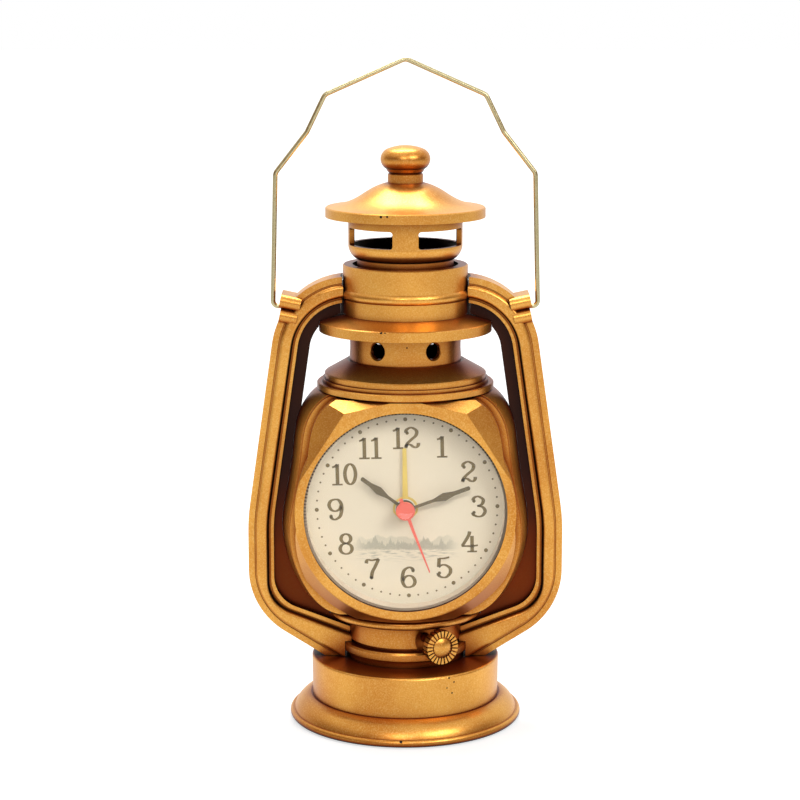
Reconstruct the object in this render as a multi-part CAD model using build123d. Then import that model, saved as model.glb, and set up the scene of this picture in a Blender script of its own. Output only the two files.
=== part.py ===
from build123d import *
import math
import os

# An oil lamp alarm clock. Millimetres, +Z up, the dial faces -Y.
# The origin is the middle of the round base where it meets the table.

# Fits
slip_gap = 0.05            # running gap round a shaft or tube
part_gap = 0.3             # gap between pieces that move past each other
seat_gap = 0.1             # gap where fixed mouldings meet on a curve
overcut = 1.0              # how far a cutting tool runs past a face
wall = 1.8                 # moulded shell wall
thin_wall = 1.2            # moulded wall of small inner boxes

# Foot, drum and bottom plate
lip_radius = 36.35
lip_lift = 0.4
lip_height = 2.6
lip_round = 0.65
lip_step = 1.3
flange_swell = 0.9          # how far the flange's roll stands out past a straight slope
flange_height = 7.4
drum_radius = 29.2
drum_top_radius = 29.35
drum_height = 20.1
drum_edge_round = 0.7
foot_ring_radius = 33.0
foot_ring_width = 4.5
foot_ring_height = 1.2
bottom_plate_height = 1.6
bottom_post_radius = 3.2
bottom_screw_circle = 24.0
bottom_screw_count = 3

# Burner collar and the seat ring under the globe
collar_radius = 17.9
collar_height = 13.2
collar_foot_height = 1.8
collar_foot_radius = 18.4
collar_ring_radius = 19.8
collar_ring_height = 3.1
collar_groove_radius = 17.1
collar_groove_height = 1.0
seat_radius = 23.9
seat_height = 2.8

# Wick wheel
wick_azimuth = 25.0
wick_axis_height = 8.3     # above the drum
wick_wheel_radius = 5.2
wick_notch_width = 0.42
wick_notch_depth = 0.35     # at the rim
wick_pad_count = 24
wick_wheel_thickness = 3.0
wick_stand_off = 9.1       # from the collar to the wheel's face
wick_pad_start = 3.3
wick_pad_height = 0.7
wick_dome_radius = 2.9
wick_dome_height = 0.9
wick_dome_drop = 0.3        # from the face to the dome's edge
wick_stem_radius = 1.5
wick_stem_length = 17.5
wick_pocket_radius = 4.7
wick_pocket_depth = 3.4
wick_stop_radius = 2.2
wick_stop_thickness = 1.0
wick_sleeve_wall = 1.4

# Globe housing: its curve as shares of its height and of its greatest radius
globe_height = 68.9
globe_radius = 38.3
globe_foot_radius = 24.6
globe_top_radius = 27.0
globe_way_radius = 6.0     # round way through the globe's floor and top
globe_curve = ((0.055, 0.795), (0.137, 0.893), (0.26, 0.974), (0.39, 1.0),
               (0.575, 0.951), (0.74, 0.909), (0.88, 0.866), (0.95, 0.8))
globe_half_depth = 13.5    # from the lantern's axis to the flat cut front

# Clock opening, front bezel and lens
dial_centre_height = 34.9  # above the foot of the globe
bezel_rim = 2.2            # the bezel's front ring outside the lens
bezel_front = 26.6
bezel_flank_angle = 33.0
bezel_edge_round = 0.9
bezel_low_swell = 4.3      # how far the lower half swells out below the bezel's ring
bezel_facets = ((33.0, 32.0, 45.0), (77.0, 33.9,
                                     60.0))    # upper panels: azimuth, distance in front, tilt
cover_flange = 1.8
cover_inset = 2.6
cover_end_gap = 0.3
groove_inset = 0.5
lens_lap = 0.4             # the lens outside the dial
lens_edge = 1.4
lens_dome = 0.7
lens_lip = 0.5
lens_lip_depth = 0.9
dial_radius = 30.8
dial_thickness = 0.8
dial_front = 18.8
dial_ring_wall = 0.8

# Hands: reach from the centre, with their hubs
hand_thickness = 0.4
hour_reach = 16.5
minute_reach = 20.7
alarm_reach = 18.7
second_reach = 20.4
second_tail = 4.1
hour_angle = 305.9
minute_angle = 70.2
alarm_angle = 359.0
second_angle = 158.8
hand_neck = 0.9
hand_swell = 2.5
hand_swell_length = 6.4
hand_swell_place = 0.6
hand_tip = 1.2
alarm_hand_root = 1.8
second_hand_root = 1.1
second_hand_tip = 0.7
hour_hub_radius = 2.9
minute_hub_radius = 2.2
alarm_hub_radius = 3.8
second_cap_radius = 2.9
second_cap_height = 0.9

# Coaxial arbors, from the inside out
second_arbor_radius = 0.5
cannon_radius = 1.2
hour_tube_radius = 2.1
alarm_tube_radius = 3.1

# Motion work: modules, teeth and wheel levels forward of the lantern's axis
cannon_teeth = 12
minute_wheel_teeth = 36
minute_pinion_teeth = 10
hour_wheel_teeth = 40
alarm_pinion_teeth = 12
alarm_wheel_teeth = 36
time_module = 0.3
alarm_module = 0.35
wheel_thickness = 1.2
level_gap = 0.6
alarm_level = 14.9
set_arbor_radius = 1.0
time_arbor_angle = 150.0
alarm_arbor_angle = 30.0
backlash_share = 0.16      # of the tooth pitch

# Movement case
case_margin = 1.8          # the case inside the dial's edge
case_wall = 1.4
case_lid_thickness = 1.0
case_back = 3.0            # its back face, forward of the lantern's axis
middle_plate_thickness = 1.2

# Rear cover, knobs, switch and buzzer
rear_cover_thickness = 2.2
rear_cover_inset = 0.5
knob_radius = 5.0
knob_height = 4.6
knob_skirt_gap = 0.5
knob_teeth = 20
knob_tooth_depth = 0.5
rear_screw_places = ((25.5, 19.0), (18.0, -30.0))
screw_radius = 1.3
screw_head_radius = 2.4
screw_head_height = 1.4
screw_length = 8.0
screw_post_radius = 2.8
switch_place = (17.0, 12.0)
switch_travel = 4.0
switch_stem = (3.0, 1.8)
switch_button = (5.0, 3.4, 2.0)
switch_flange = (8.6, 5.0, 1.0)
buzzer_place = (-13.0, 24.0)
buzzer_radius = 6.5
buzzer_height = 3.2
buzzer_slot = (8.0, 1.0)
buzzer_slot_pitch = 2.2
buzzer_slot_count = 5

# Battery, its bay and its door
cell_radius = 7.25
cell_length = 49.2
cell_nub_radius = 2.75
cell_nub_length = 1.3
cell_drop = 15.6           # below the dial's centre
bay_side_gap = 0.35
bay_end_gap = 2.6
bay_case_gap = 0.2         # between the bay and the movement case
bay_door_gap = 0.85        # between the battery and the flat cut back of the globe
contact_thickness = 0.4
contact_size = (9.0, 11.0)
spring_wire = 0.35
spring_radius = 2.9
spring_turns = 3
door_lap = 1.4
door_thickness = 1.2
door_recess = 0.9
door_grip_length = 10.0
door_grip_pitch = 1.8
door_grip_count = 3

# Stepped ring over the globe, neck and hood
cap_ring_radius = 27.3
cap_ring_height = 2.2
cap_groove_radius = 25.6
cap_groove_height = 1.1
cap_step_radius = 24.9
cap_step_height = 1.9
cap_cone_height = 3.7
neck_radius = 17.2
neck_height = 9.1
neck_vent_radius = 2.45
neck_vent_flare = 0.45
neck_vent_count = 6
neck_vent_height = 4.55
hood_radius = 26.6
hood_rim_height = 2.9
hood_height = 5.2
hood_top_radius = 19.0

# Chimney, vent cage, cap and finial
chimney_radius = 19.2
chimney_height = 15.2
chimney_bead_height = 6.3
chimney_bead_swell = 0.7
chimney_bead_half_height = 1.5
chimney_recess_radius = 16.2
chimney_recess_depth = 1.6
cage_foot_radius = 14.8
cage_radius = 17.5
cage_wall = 1.5
cage_height = 14.5
cage_flare_low = 1.6
cage_flare_high = 5.6
cage_window_low = 6.2
cage_window_height = 5.3
cage_window_round = 0.9
cage_pillar_width = 7.8
cage_window_count = 4
cap_radius = 24.5
cap_rim_height = 3.0
cap_height = 10.4
cap_curve = ((0.343, 0.878), (0.457, 0.689), (0.571, 0.446), (0.694, 0.23),
             (0.816, 0.095))    # shares of its radius and of its rise above the rim
finial_neck_radius = 5.4
finial_neck_height = 2.9
finial_radius = 7.6
finial_ball_height = 8.4
finial_edge_round = 3.4
finial_ball_angle = 60.0   # where the ball's round edge meets its neck, below its middle
finial_stem_radius = 2.0
finial_groove = 0.4

# Side arms: outer outline, bands and grooves
arm_stand_off = 2.65       # gap between the globe and the arms
arm_top_height = 11.8      # above the foot of the chimney
arm_lean = 10.95           # how far the arm's upper corner stands in from its widest part
arm_bend_height = 44.3     # above the drum
arm_heel_height = 14.9     # above the drum
arm_foot_slope = 32.0
arm_shoulder_radius = 23.9
arm_bend_radius = 60.0
arm_heel_radius = 23.5
arm_band_width = 7.9
arm_web_width = 11.5
arm_inner_heel_height = 18.4
arm_inner_heel_radius = 10.5
arm_inner_foot_slope = 20.7
arm_half_depth = 5.0
arm_crown_height = 1.3
arm_crown_start = 2.4
arm_crown_end = 1.5
arm_crown_round = 1.2
arm_line_start = 1.9
arm_line_width = 0.3
arm_line_depth = 0.3
arm_groove_width = 0.6       # inside the crown
arm_groove_depth = 0.8
arm_web_half_depth = 2.6
arm_wall = 1.6

# Ears on the arms and the wire bail
ear_height = 4.3
ear_half_depth = 6.9
ear_tilt = 12.0
ear_lobes = ((6.4, 0.85),
             (5.4, 0.1))    # length, and how far each stands out past the arm's corner before the tilt
ear_rise = 2.05             # the bail's pivot above the foot of the chimney
bail_wire_radius = 0.75
bail_pin_length = 5.2
bail_stand_out = 2.8       # from the arm's corner to the wire's middle
bail_bends = ((1.1, 40.85), (10.8, 53.25), (16.3, 64.55))    # in from the leg, and above the pivot
bail_height = 75.35
bail_bend_radius = 2.6
bail_foot_bend = 1.6

# Radii and spans that follow from the sizes above
lens_radius = dial_radius + lens_lap
bezel_radius = lens_radius + bezel_rim
bezel_low_radius = bezel_radius + bezel_low_swell
case_radius = dial_radius - case_margin
wick_face_reach = collar_radius + wick_stand_off
wick_pocket_floor = collar_radius - wick_pocket_depth
arm_half_span = globe_radius + arm_stand_off + arm_band_width
arm_corner_span = arm_half_span - arm_lean
ear_spans = [(arm_corner_span + out - length, arm_corner_span + out) for length, out in ear_lobes]
bail_leg_span = arm_corner_span + bail_stand_out

# Heights that follow from the sizes above
collar_z = drum_height
seat_z = collar_z + collar_height
globe_z = seat_z + seat_height
globe_top_z = globe_z + globe_height
neck_z = globe_top_z + cap_ring_height + cap_groove_height + cap_step_height + cap_cone_height
hood_z = neck_z + neck_height
chimney_z = hood_z + hood_height
cage_z = chimney_z + chimney_height
cap_z = cage_z + cage_height
finial_z = cap_z + cap_height
dial_z = globe_z + dial_centre_height
pivot_z = chimney_z + ear_rise

# Levels forward of the lantern's axis that follow from the sizes above
dial_back = dial_front - dial_thickness
lid_front = dial_back - 2 * seat_gap
lid_back = lid_front - case_lid_thickness
hour_level = alarm_level - level_gap - wheel_thickness
minute_level = hour_level - level_gap - wheel_thickness
middle_plate_front = minute_level - part_gap
middle_plate_back = middle_plate_front - middle_plate_thickness
lens_back = bezel_front - lens_lip_depth - lens_edge
hand_step = hand_thickness + 0.75
alarm_hand_level = dial_front + 0.7
hour_hand_level = alarm_hand_level + hand_step
minute_hand_level = hour_hand_level + hand_step
second_hand_level = minute_hand_level + hand_step
cell_back = cell_radius + bay_side_gap + thin_wall / 2 + bay_case_gap - case_back
globe_rear_depth = cell_back + cell_radius + bay_door_gap
rear_face = -(globe_rear_depth + rear_cover_thickness)

# Gear centres that follow from the teeth
time_centre = time_module * (cannon_teeth + minute_wheel_teeth) / 2
hour_module = 2 * time_centre / (hour_wheel_teeth + minute_pinion_teeth)
alarm_centre = alarm_module * (alarm_wheel_teeth + alarm_pinion_teeth) / 2

# The dial's own frame: x to the right, y up, z forward, with its origin on the lantern's axis
dial_frame = Plane((0, 0, dial_z), x_dir=(1, 0, 0), z_dir=(0, -1, 0))


# Helpers

def turned(edges):
    """A solid turned about the lantern's upright axis from a closed outline in radius and height."""
    return revolve(Plane.XZ * make_face(edges), Axis.Z)


def outline(*points):
    """The edges of a closed outline with straight sides."""
    return Polyline(*points, close=True).edges()


def dome_arc(radius, low, rise):
    """The arc of a round dome from its rim to its middle, as radius and height."""
    ball = (radius ** 2 + rise ** 2) / (2 * rise)
    half_way = math.asin(radius / ball) / 2
    middle = (ball * math.sin(half_way), low + rise - ball * (1 - math.cos(half_way)))
    return ThreePointArc((radius, low), middle, (0, low + rise)).edge()


def tube(outer, inner, low, high):
    """An upright tube between two heights."""
    return turned(outline((inner, low), (outer, low), (outer, high), (inner, high)))


def disc(radius, low, high, place=(0, 0)):
    """A round disc or rod along the local z axis."""
    rod = Cylinder(radius, high - low, align=(Align.CENTER, Align.CENTER, Align.MIN))
    return Pos(place[0], place[1], low) * rod


def block(width, height, low, high, place=(0, 0)):
    """A box along the local z axis with its section centred on the place."""
    box = Box(width, height, high - low, align=(Align.CENTER, Align.CENTER, Align.MIN))
    return Pos(place[0], place[1], low) * box


def forward(shape):
    """A shape drawn in the dial's own frame, moved to its place in the lantern."""
    return dial_frame * shape


def round_the_axis(shape, count, first=0.0):
    """Copies of a shape spaced evenly round the upright axis."""
    return [Rot(0, 0, first + 360 * turn / count) * shape for turn in range(count)]


def at_angle(reach, angle):
    """A place at a reach and an angle, in degrees from the local x axis."""
    return (reach * math.cos(math.radians(angle)), reach * math.sin(math.radians(angle)))


# Globe and covers

def globe_points(inset=0.0):
    """The globe's curve as radius and height, moved in by an inset."""
    low = [(globe_foot_radius - inset, globe_z)]
    middle = [(share * globe_radius - inset, globe_z + rise * globe_height) for rise,
              share in globe_curve]
    return low + middle + [(globe_top_radius - inset, globe_top_z)]


def globe_solid(inset=0.0):
    """The filled globe, or its inside."""
    curve = globe_points(inset)
    sides = [Line(curve[-1], (0, globe_top_z)), Line((0, globe_top_z), (0, globe_z)),
             Line((0, globe_z), curve[0])]
    body = turned([Spline(*curve).edge()] + [side.edge() for side in sides])
    return body & disc(globe_radius, globe_z + inset, globe_top_z - inset)


def globe_band(near, far):
    """The globe's shell between two distances behind the lantern's axis."""
    shell = globe_solid() - globe_solid(wall) - disc(globe_way_radius, globe_z - overcut,
                                                     globe_top_z + overcut)
    slab = Box(4 * globe_radius, far - near, 4 * globe_height,
               align=(Align.CENTER, Align.MIN, Align.CENTER))
    return shell & (Pos(0, near, dial_z) * slab)


def globe_front():
    """The front half of the globe's shell."""
    return globe_band(-globe_half_depth, 0)


def globe_rear():
    """The rear half of the globe's shell with the posts that take the cover's screws."""
    shell = globe_band(0, globe_rear_depth)
    post_low = -globe_rear_depth
    post_high = post_low + screw_length + wall
    posts = Part()
    for x, y in rear_screw_places:
        for side in (-x, x):
            outward = math.copysign(globe_radius / 2, side)
            posts += disc(screw_post_radius, post_low, post_high, (side, y))
            posts += block(globe_radius, wall, post_low, post_high, (side + outward, y))
            posts -= disc(screw_radius - slip_gap, post_low - overcut, post_low + screw_length, (side, y))
    return shell + (forward(posts) & globe_solid(wall / 2)) - forward(bay_block(seat_gap))


def cover_sketch(inset, depth):
    """The flat outline of the globe cut at a depth, in the dial's frame, moved in at its sides."""
    low = cover_end_gap - dial_centre_height
    high = globe_height - dial_centre_height - cover_end_gap
    side = []
    for radius, height in globe_points():
        across = math.sqrt(radius ** 2 - depth ** 2) - inset
        side.append((across, min(max(height - dial_z, low), high)))
    right = Spline(*side)
    left = mirror(right, about=Plane.YZ)
    top = Line(right @ 1, left @ 1)
    bottom = Line(left @ 0, right @ 0)
    return make_face([right.edge(), top.edge(), left.edge(), bottom.edge()])


def facet_cutter(azimuth, distance, tilt, shrink):
    """A block beyond one slanted panel of the front cover, moved in by a shrink."""
    around = math.radians(azimuth)
    back = math.radians(tilt)
    normal = Vector(math.cos(around) * math.sin(back), math.sin(around) * math.sin(back), math.cos(back))
    foot = Vector(distance * math.cos(around), distance * math.sin(around), bezel_front) - normal * shrink
    span = 4 * globe_radius
    return Plane(origin=foot, z_dir=normal) * Box(span, span, span,
                                                  align=(Align.CENTER, Align.CENTER, Align.MIN))


def bezel_body(inset, shrink):
    """The front cover's outer body, or its inside when it is moved in and shrunk."""
    flank_run = bezel_front - globe_half_depth
    flank_rise = flank_run * math.tan(math.radians(bezel_flank_angle))
    front = bezel_front - shrink
    radius = bezel_radius - shrink
    cone = Cone(radius + flank_rise, radius, flank_run, align=(Align.CENTER, Align.CENTER, Align.MIN))
    cone = fillet(cone.edges().sort_by(Axis.Z)[-1], bezel_edge_round)
    prism = Pos(0, 0, globe_half_depth) * extrude(cover_sketch(inset, globe_half_depth),
                                                  front - globe_half_depth)
    upper = block(4 * globe_radius, 2 * globe_height, globe_half_depth - overcut, bezel_front + overcut,
                  (0, globe_height))
    low = prism & disc(bezel_low_radius - shrink, globe_half_depth - overcut, bezel_front + overcut)
    low = (low + disc(radius, globe_half_depth, front)) & (Pos(0, 0, front - flank_run) * cone)
    body = low + (prism & upper)
    for azimuth, distance, tilt in bezel_facets:
        body -= facet_cutter(azimuth, distance, tilt, shrink)
        body -= facet_cutter(180 - azimuth, distance, tilt, shrink)
    return body


def front_bezel():
    """The front cover: a flange on the globe's cut edge, slanted corners and the round bezel."""
    flange = Pos(0, 0, globe_half_depth) * extrude(cover_sketch(groove_inset, globe_half_depth),
                                                   cover_flange)
    body = bezel_body(cover_inset, 0) + flange
    inside = bezel_body(cover_inset + wall, wall)
    lens_seat = disc(lens_radius + seat_gap, globe_half_depth - overcut, bezel_front - lens_lip_depth)
    mouth = disc(lens_radius - lens_lip, globe_half_depth - overcut, bezel_front + overcut)
    shelf = disc(bezel_radius - slip_gap, dial_back, bezel_front)
    shelf -= disc(dial_radius, dial_back - overcut, bezel_front + overcut)
    return forward(body - (inside - shelf) - lens_seat - mouth)


def lens():
    """The clear front lens, a little domed, behind the bezel's lip."""
    edge_front = lens_back + lens_edge - seat_gap
    dome_radius = lens_radius - lens_lip - seat_gap
    dome = dome_arc(dome_radius, edge_front, lens_dome)
    sides = Polyline((0, edge_front + lens_dome), (0, lens_back), (lens_radius, lens_back),
                     (lens_radius, edge_front),
                     (dome_radius, edge_front)).edges()
    return forward(turned([dome] + list(sides)))


def dial_ring():
    """The white ring that spaces the lens from the dial."""
    ring = disc(dial_radius, dial_front, lens_back)
    ring -= disc(dial_radius - dial_ring_wall, dial_front - overcut, lens_back + overcut)
    return forward(ring)


def dial():
    """The printed dial with its centre hole."""
    plate = disc(dial_radius, dial_back, dial_front)
    plate -= disc(alarm_tube_radius + part_gap, dial_back - overcut, dial_front + overcut)
    return forward(plate)


# Hands and arbors

def hand(outline_points, hub_radius, bore_radius, level, angle):
    """A flat hand drawn pointing up, turned clockwise to its angle."""
    blade = make_face(Polyline(*outline_points,
                               close=True).edges()) + Circle(hub_radius) - Circle(bore_radius)
    return forward(Rot(0, 0, -angle) * Pos(0, 0, level) * extrude(blade, hand_thickness))


def spade_points(reach):
    """Half widths of a spade hand from its hub to its blunt tip, on both sides."""
    middle = reach * hand_swell_place
    right = [(hand_neck / 2, 0), (hand_neck / 2, middle - hand_swell_length / 2),
             (hand_swell / 2, middle),
             (hand_tip / 2, middle + hand_swell_length / 2), (hand_tip / 2,
                                                              reach - hand_tip / 4), (hand_tip / 4,
                                                                                      reach)]
    return right + [(-x, y) for x, y in reversed(right)]


def hour_hand():
    """The hour hand on its tube."""
    return hand(spade_points(hour_reach), hour_hub_radius, hour_tube_radius, hour_hand_level, hour_angle)


def minute_hand():
    """The minute hand on the cannon tube."""
    return hand(spade_points(minute_reach), minute_hub_radius, cannon_radius, minute_hand_level,
                minute_angle)


def alarm_hand():
    """The alarm hand, a plain tapered pointer."""
    right = [(alarm_hand_root / 2, 0), (hand_tip / 2, alarm_reach - hand_tip / 4),
             (hand_tip / 4, alarm_reach)]
    points = right + [(-x, y) for x, y in reversed(right)]
    return hand(points, alarm_hub_radius, alarm_tube_radius, alarm_hand_level, alarm_angle)


def second_hand():
    """The thin second hand with its short tail and round cap."""
    points = [(second_hand_root / 2, 0), (second_hand_tip / 4, second_reach),
              (-second_hand_tip / 4, second_reach),
              (-second_hand_root / 2, 0), (-second_hand_root / 2, -second_tail), (second_hand_root / 2,
                                                                                  -second_tail)]
    blade = make_face(Polyline(*points, close=True).edges())
    solid = Pos(0, 0, second_hand_level) * extrude(blade, hand_thickness)
    solid += disc(second_cap_radius, second_hand_level, second_hand_level + second_cap_height)
    return forward(Rot(0, 0, -second_angle) * (solid - disc(second_arbor_radius, 0,
                                                            second_hand_level + hand_thickness)))


def gear(teeth, module, low, high, bore, turn=0.0):
    """A spur wheel with slim straight-sided teeth, its first tooth at the given turn in degrees."""
    pitch_radius = teeth * module / 2
    root = pitch_radius - 1.2 * module
    tip = pitch_radius + 0.9 * module
    pitch_angle = 2 * math.pi / teeth
    half_pitch = pitch_angle * (0.5 - backlash_share) / 2
    half_root = min(half_pitch * 1.55, pitch_angle * 0.42)
    half_tip = half_pitch * 0.45
    points = []
    for tooth in range(teeth):
        middle = tooth * pitch_angle + math.radians(turn)
        for radius, half in ((root, -half_root), (pitch_radius, -half_pitch), (tip, -half_tip),
                             (tip, half_tip), (pitch_radius, half_pitch), (root, half_root)):
            points.append((radius * math.cos(middle + half), radius * math.sin(middle + half)))
    wheel = Pos(0, 0, low) * extrude(make_face(Polyline(*points, close=True).edges()), high - low)
    if bore:
        wheel -= disc(bore, low - overcut, high + overcut)
    return wheel


def meshed_turn(own_teeth, own_turn, other_teeth, angle):
    """The turn of a wheel at an angle from its neighbour, so that a tooth falls in a gap."""
    into_neighbour = (angle - own_turn) * own_teeth / 360
    phase = into_neighbour - math.floor(into_neighbour)
    return angle + 180 + (phase - 0.5) * 360 / other_teeth


# Turns of the wheels at rest, so that the teeth mesh
cannon_turn = 90.0
minute_wheel_turn = meshed_turn(cannon_teeth, cannon_turn, minute_wheel_teeth, time_arbor_angle)
minute_pinion_turn = minute_wheel_turn
hour_wheel_turn = meshed_turn(minute_pinion_teeth, minute_pinion_turn, hour_wheel_teeth,
                              time_arbor_angle + 180)
alarm_wheel_turn = 90.0
alarm_pinion_turn = meshed_turn(alarm_wheel_teeth, alarm_wheel_turn, alarm_pinion_teeth,
                                alarm_arbor_angle)
time_place = at_angle(time_centre, time_arbor_angle)
alarm_place = at_angle(alarm_centre, alarm_arbor_angle)


def cannon_pinion():
    """The pinion and tube that carry the minute hand."""
    high = minute_hand_level + hand_thickness + slip_gap
    teeth = gear(cannon_teeth, time_module, minute_level, minute_level + wheel_thickness, 0, cannon_turn)
    return forward(teeth + disc(cannon_radius, middle_plate_back,
                                high) - disc(second_arbor_radius + slip_gap, 0, bezel_front))


def hour_wheel():
    """The wheel and tube that carry the hour hand."""
    high = hour_hand_level + hand_thickness + slip_gap
    teeth = gear(hour_wheel_teeth, hour_module, hour_level, hour_level + wheel_thickness, 0,
                 hour_wheel_turn)
    return forward(teeth + disc(hour_tube_radius, hour_level, high) - disc(cannon_radius + slip_gap, 0,
                                                                           bezel_front))


def alarm_wheel():
    """The wheel and tube that carry the alarm hand."""
    high = alarm_hand_level + hand_thickness + slip_gap
    teeth = gear(alarm_wheel_teeth, alarm_module, alarm_level, alarm_level + wheel_thickness, 0,
                 alarm_wheel_turn)
    return forward(teeth + disc(alarm_tube_radius, alarm_level, high) - disc(hour_tube_radius + slip_gap,
                                                                             0, bezel_front))


def second_arbor():
    """The thin arbor that carries the second hand, with its driven wheel behind the middle plate."""
    high = second_hand_level + hand_thickness
    wheel_high = middle_plate_back - part_gap
    wheel = disc(hour_wheel_teeth * hour_module / 2, wheel_high - wheel_thickness, wheel_high)
    return forward(wheel + disc(second_arbor_radius, case_back + case_wall / 2, high))


def time_arbor():
    """The set arbor: minute wheel and pinion in one, with the long shaft to the time knob."""
    wheel = gear(minute_wheel_teeth, time_module, minute_level, minute_level + wheel_thickness, 0,
                 minute_wheel_turn)
    pinion = gear(minute_pinion_teeth, hour_module, minute_level, hour_level + wheel_thickness, 0,
                  minute_pinion_turn)
    shaft = disc(set_arbor_radius, rear_face - knob_height, hour_level + wheel_thickness + slip_gap)
    return forward(Pos(*time_place) * (wheel + pinion + shaft))


def alarm_arbor():
    """The alarm set arbor: pinion with the long shaft to the alarm knob."""
    pinion = gear(alarm_pinion_teeth, alarm_module, alarm_level, alarm_level + wheel_thickness, 0,
                  alarm_pinion_turn)
    shaft = disc(set_arbor_radius, rear_face - knob_height, alarm_level + wheel_thickness + slip_gap)
    return forward(Pos(*alarm_place) * (pinion + shaft))


def set_knob(place):
    """A ribbed set knob pressed on its arbor behind the rear cover."""
    low = rear_face - knob_skirt_gap - knob_height
    high = rear_face - knob_skirt_gap
    knob = disc(knob_radius, low, high)
    for angle in range(knob_teeth):
        knob -= disc(knob_tooth_depth, low - overcut, high + overcut,
                     at_angle(knob_radius, 360 * angle / knob_teeth))
    knob -= disc(set_arbor_radius, rear_face - knob_height, high + overcut)
    return forward(Pos(*place) * knob)


def time_knob():
    """The knob that sets the time."""
    return set_knob(time_place)


def alarm_knob():
    """The knob that sets the alarm."""
    return set_knob(alarm_place)


# Movement

def arbor_holes(low, high, radius):
    """Holes for the two set arbors."""
    return disc(radius, low, high, time_place) + disc(radius, low, high, alarm_place)


def movement_case():
    """The round cup that holds the wheels, open to the front."""
    cup = disc(case_radius, case_back, lid_back) - disc(case_radius - case_wall, case_back + case_wall,
                                                        lid_front)
    ledge = disc(case_radius - case_wall, case_back + case_wall, middle_plate_back)
    cup += ledge - disc(case_radius - 3 * case_wall, case_back, lid_front)
    cup -= disc(second_arbor_radius + slip_gap, case_back + case_wall / 2, lid_front)
    return forward(cup - arbor_holes(0, lid_front, set_arbor_radius + slip_gap))


def middle_plate():
    """The plate that carries the cannon tube and parts the hand wheels from the drive."""
    plate = disc(case_radius - case_wall - slip_gap, middle_plate_back, middle_plate_front)
    plate -= disc(cannon_radius + slip_gap, 0, bezel_front)
    return forward(plate - arbor_holes(0, bezel_front, set_arbor_radius + slip_gap))


def movement_lid():
    """The front lid of the movement, under the dial."""
    lid = disc(case_radius, lid_back, lid_front)
    return forward(lid - disc(alarm_tube_radius + slip_gap, 0, bezel_front))


# Rear cover and what it carries

def cell_place():
    """The battery's axis in the dial's frame as height and distance forward."""
    return -cell_drop, -cell_back


def bay_sizes():
    """Half width, low, high, and deepest forward level of the battery bay's inside."""
    half_width = cell_length / 2 + cell_nub_length + bay_end_gap
    reach = cell_radius + bay_side_gap
    return half_width, -cell_drop - reach, -cell_drop + reach, cell_radius - cell_back + bay_side_gap


def bay_block(gap=0.0):
    """The outside of the battery bay, grown by a gap."""
    half_width, low, high, deep = bay_sizes()
    side = thin_wall + gap
    return block(2 * (half_width + side), high - low + 2 * side, rear_face + overcut - gap,
                 deep + thin_wall / 2 + gap,
                 (0, (low + high) / 2))


def rear_cover():
    """The flat rear cover with the battery bay moulded in."""
    half_width, low, high, deep = bay_sizes()
    middle = (low + high) / 2
    tall = high - low
    cover = Pos(0, 0, rear_face) * extrude(cover_sketch(rear_cover_inset, globe_rear_depth),
                                           rear_cover_thickness)
    cover += bay_block()
    cover -= block(2 * half_width, tall, rear_face - overcut, deep, (0, middle))
    recess = block(2 * (half_width + door_lap) + 2 * seat_gap, tall + 2 * (door_lap + seat_gap),
                   rear_face - overcut, rear_face + door_recess, (0, middle))
    cover -= recess
    cover -= arbor_holes(2 * rear_face, 0, set_arbor_radius + part_gap)
    slot = block(switch_travel + switch_stem[0] + 2 * part_gap, switch_stem[1] + 2 * part_gap,
                 2 * rear_face, 0, switch_place)
    cover -= slot
    for step in range(buzzer_slot_count):
        height = buzzer_place[1] + (step - (buzzer_slot_count - 1) / 2) * buzzer_slot_pitch
        cover -= block(buzzer_slot[0], buzzer_slot[1], 2 * rear_face, 0, (buzzer_place[0], height))
    for x, y in rear_screw_places:
        for side in (-x, x):
            cover -= disc(screw_radius + seat_gap, 2 * rear_face, 0, (side, y))
            cover -= disc(screw_head_radius + seat_gap, 2 * rear_face, rear_face + screw_head_height,
                          (side, y))
    return forward(cover)


def rear_screws():
    """Four screws through the rear cover."""
    screw_tip = -globe_rear_depth + screw_length - overcut
    slot_floor = rear_face + screw_head_height / 2
    screws = []
    for x, y in rear_screw_places:
        for side in (-x, x):
            screw = disc(screw_head_radius, rear_face + slip_gap, rear_face + screw_head_height,
                         (side, y))
            screw += disc(screw_radius - seat_gap, rear_face + slip_gap, screw_tip, (side, y))
            screw -= block(5 * screw_head_radius / 4, screw_radius / 2, 2 * rear_face, slot_floor,
                           (side, y))
            screws.append(screw)
    return forward(Compound(children=[part.solid() for part in screws]))


def battery_door():
    """The lift-off battery door with finger ribs."""
    half_width, low, high, _ = bay_sizes()
    front = rear_face + door_recess - slip_gap
    back = front - door_thickness
    middle = (low + high) / 2
    door = block(2 * (half_width + door_lap), high - low + 2 * door_lap, back, front, (0, middle))
    for step in range(door_grip_count):
        across = half_width - (step + 1) * door_grip_pitch
        door += block(door_grip_pitch / 2, door_grip_length, back - door_thickness / 3, back,
                      (across, middle))
    return forward(door)


def aa_cell():
    """The battery that drives the clock."""
    height, level = cell_place()
    body = Cylinder(cell_radius, cell_length)
    body += Pos(0, 0, (cell_length + cell_nub_length) / 2) * Cylinder(cell_nub_radius, cell_nub_length)
    return forward(Pos(0, height, level) * Rot(0, 90, 0) * body)


def contact_plate():
    """The flat spring plate at the battery's positive end."""
    height, level = cell_place()
    low = cell_length / 2 + cell_nub_length
    plate = Box(contact_thickness, contact_size[1], contact_size[0])
    crank = Box(bay_end_gap - contact_thickness, contact_thickness, contact_size[0])
    away = low + contact_thickness / 2
    foot = Pos(away + (bay_end_gap - contact_thickness) / 2, contact_size[1] / 2 - contact_thickness / 2,
               0) * crank
    return forward(Pos(0, height, level) * (Pos(away, 0, 0) * plate + foot))


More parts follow.
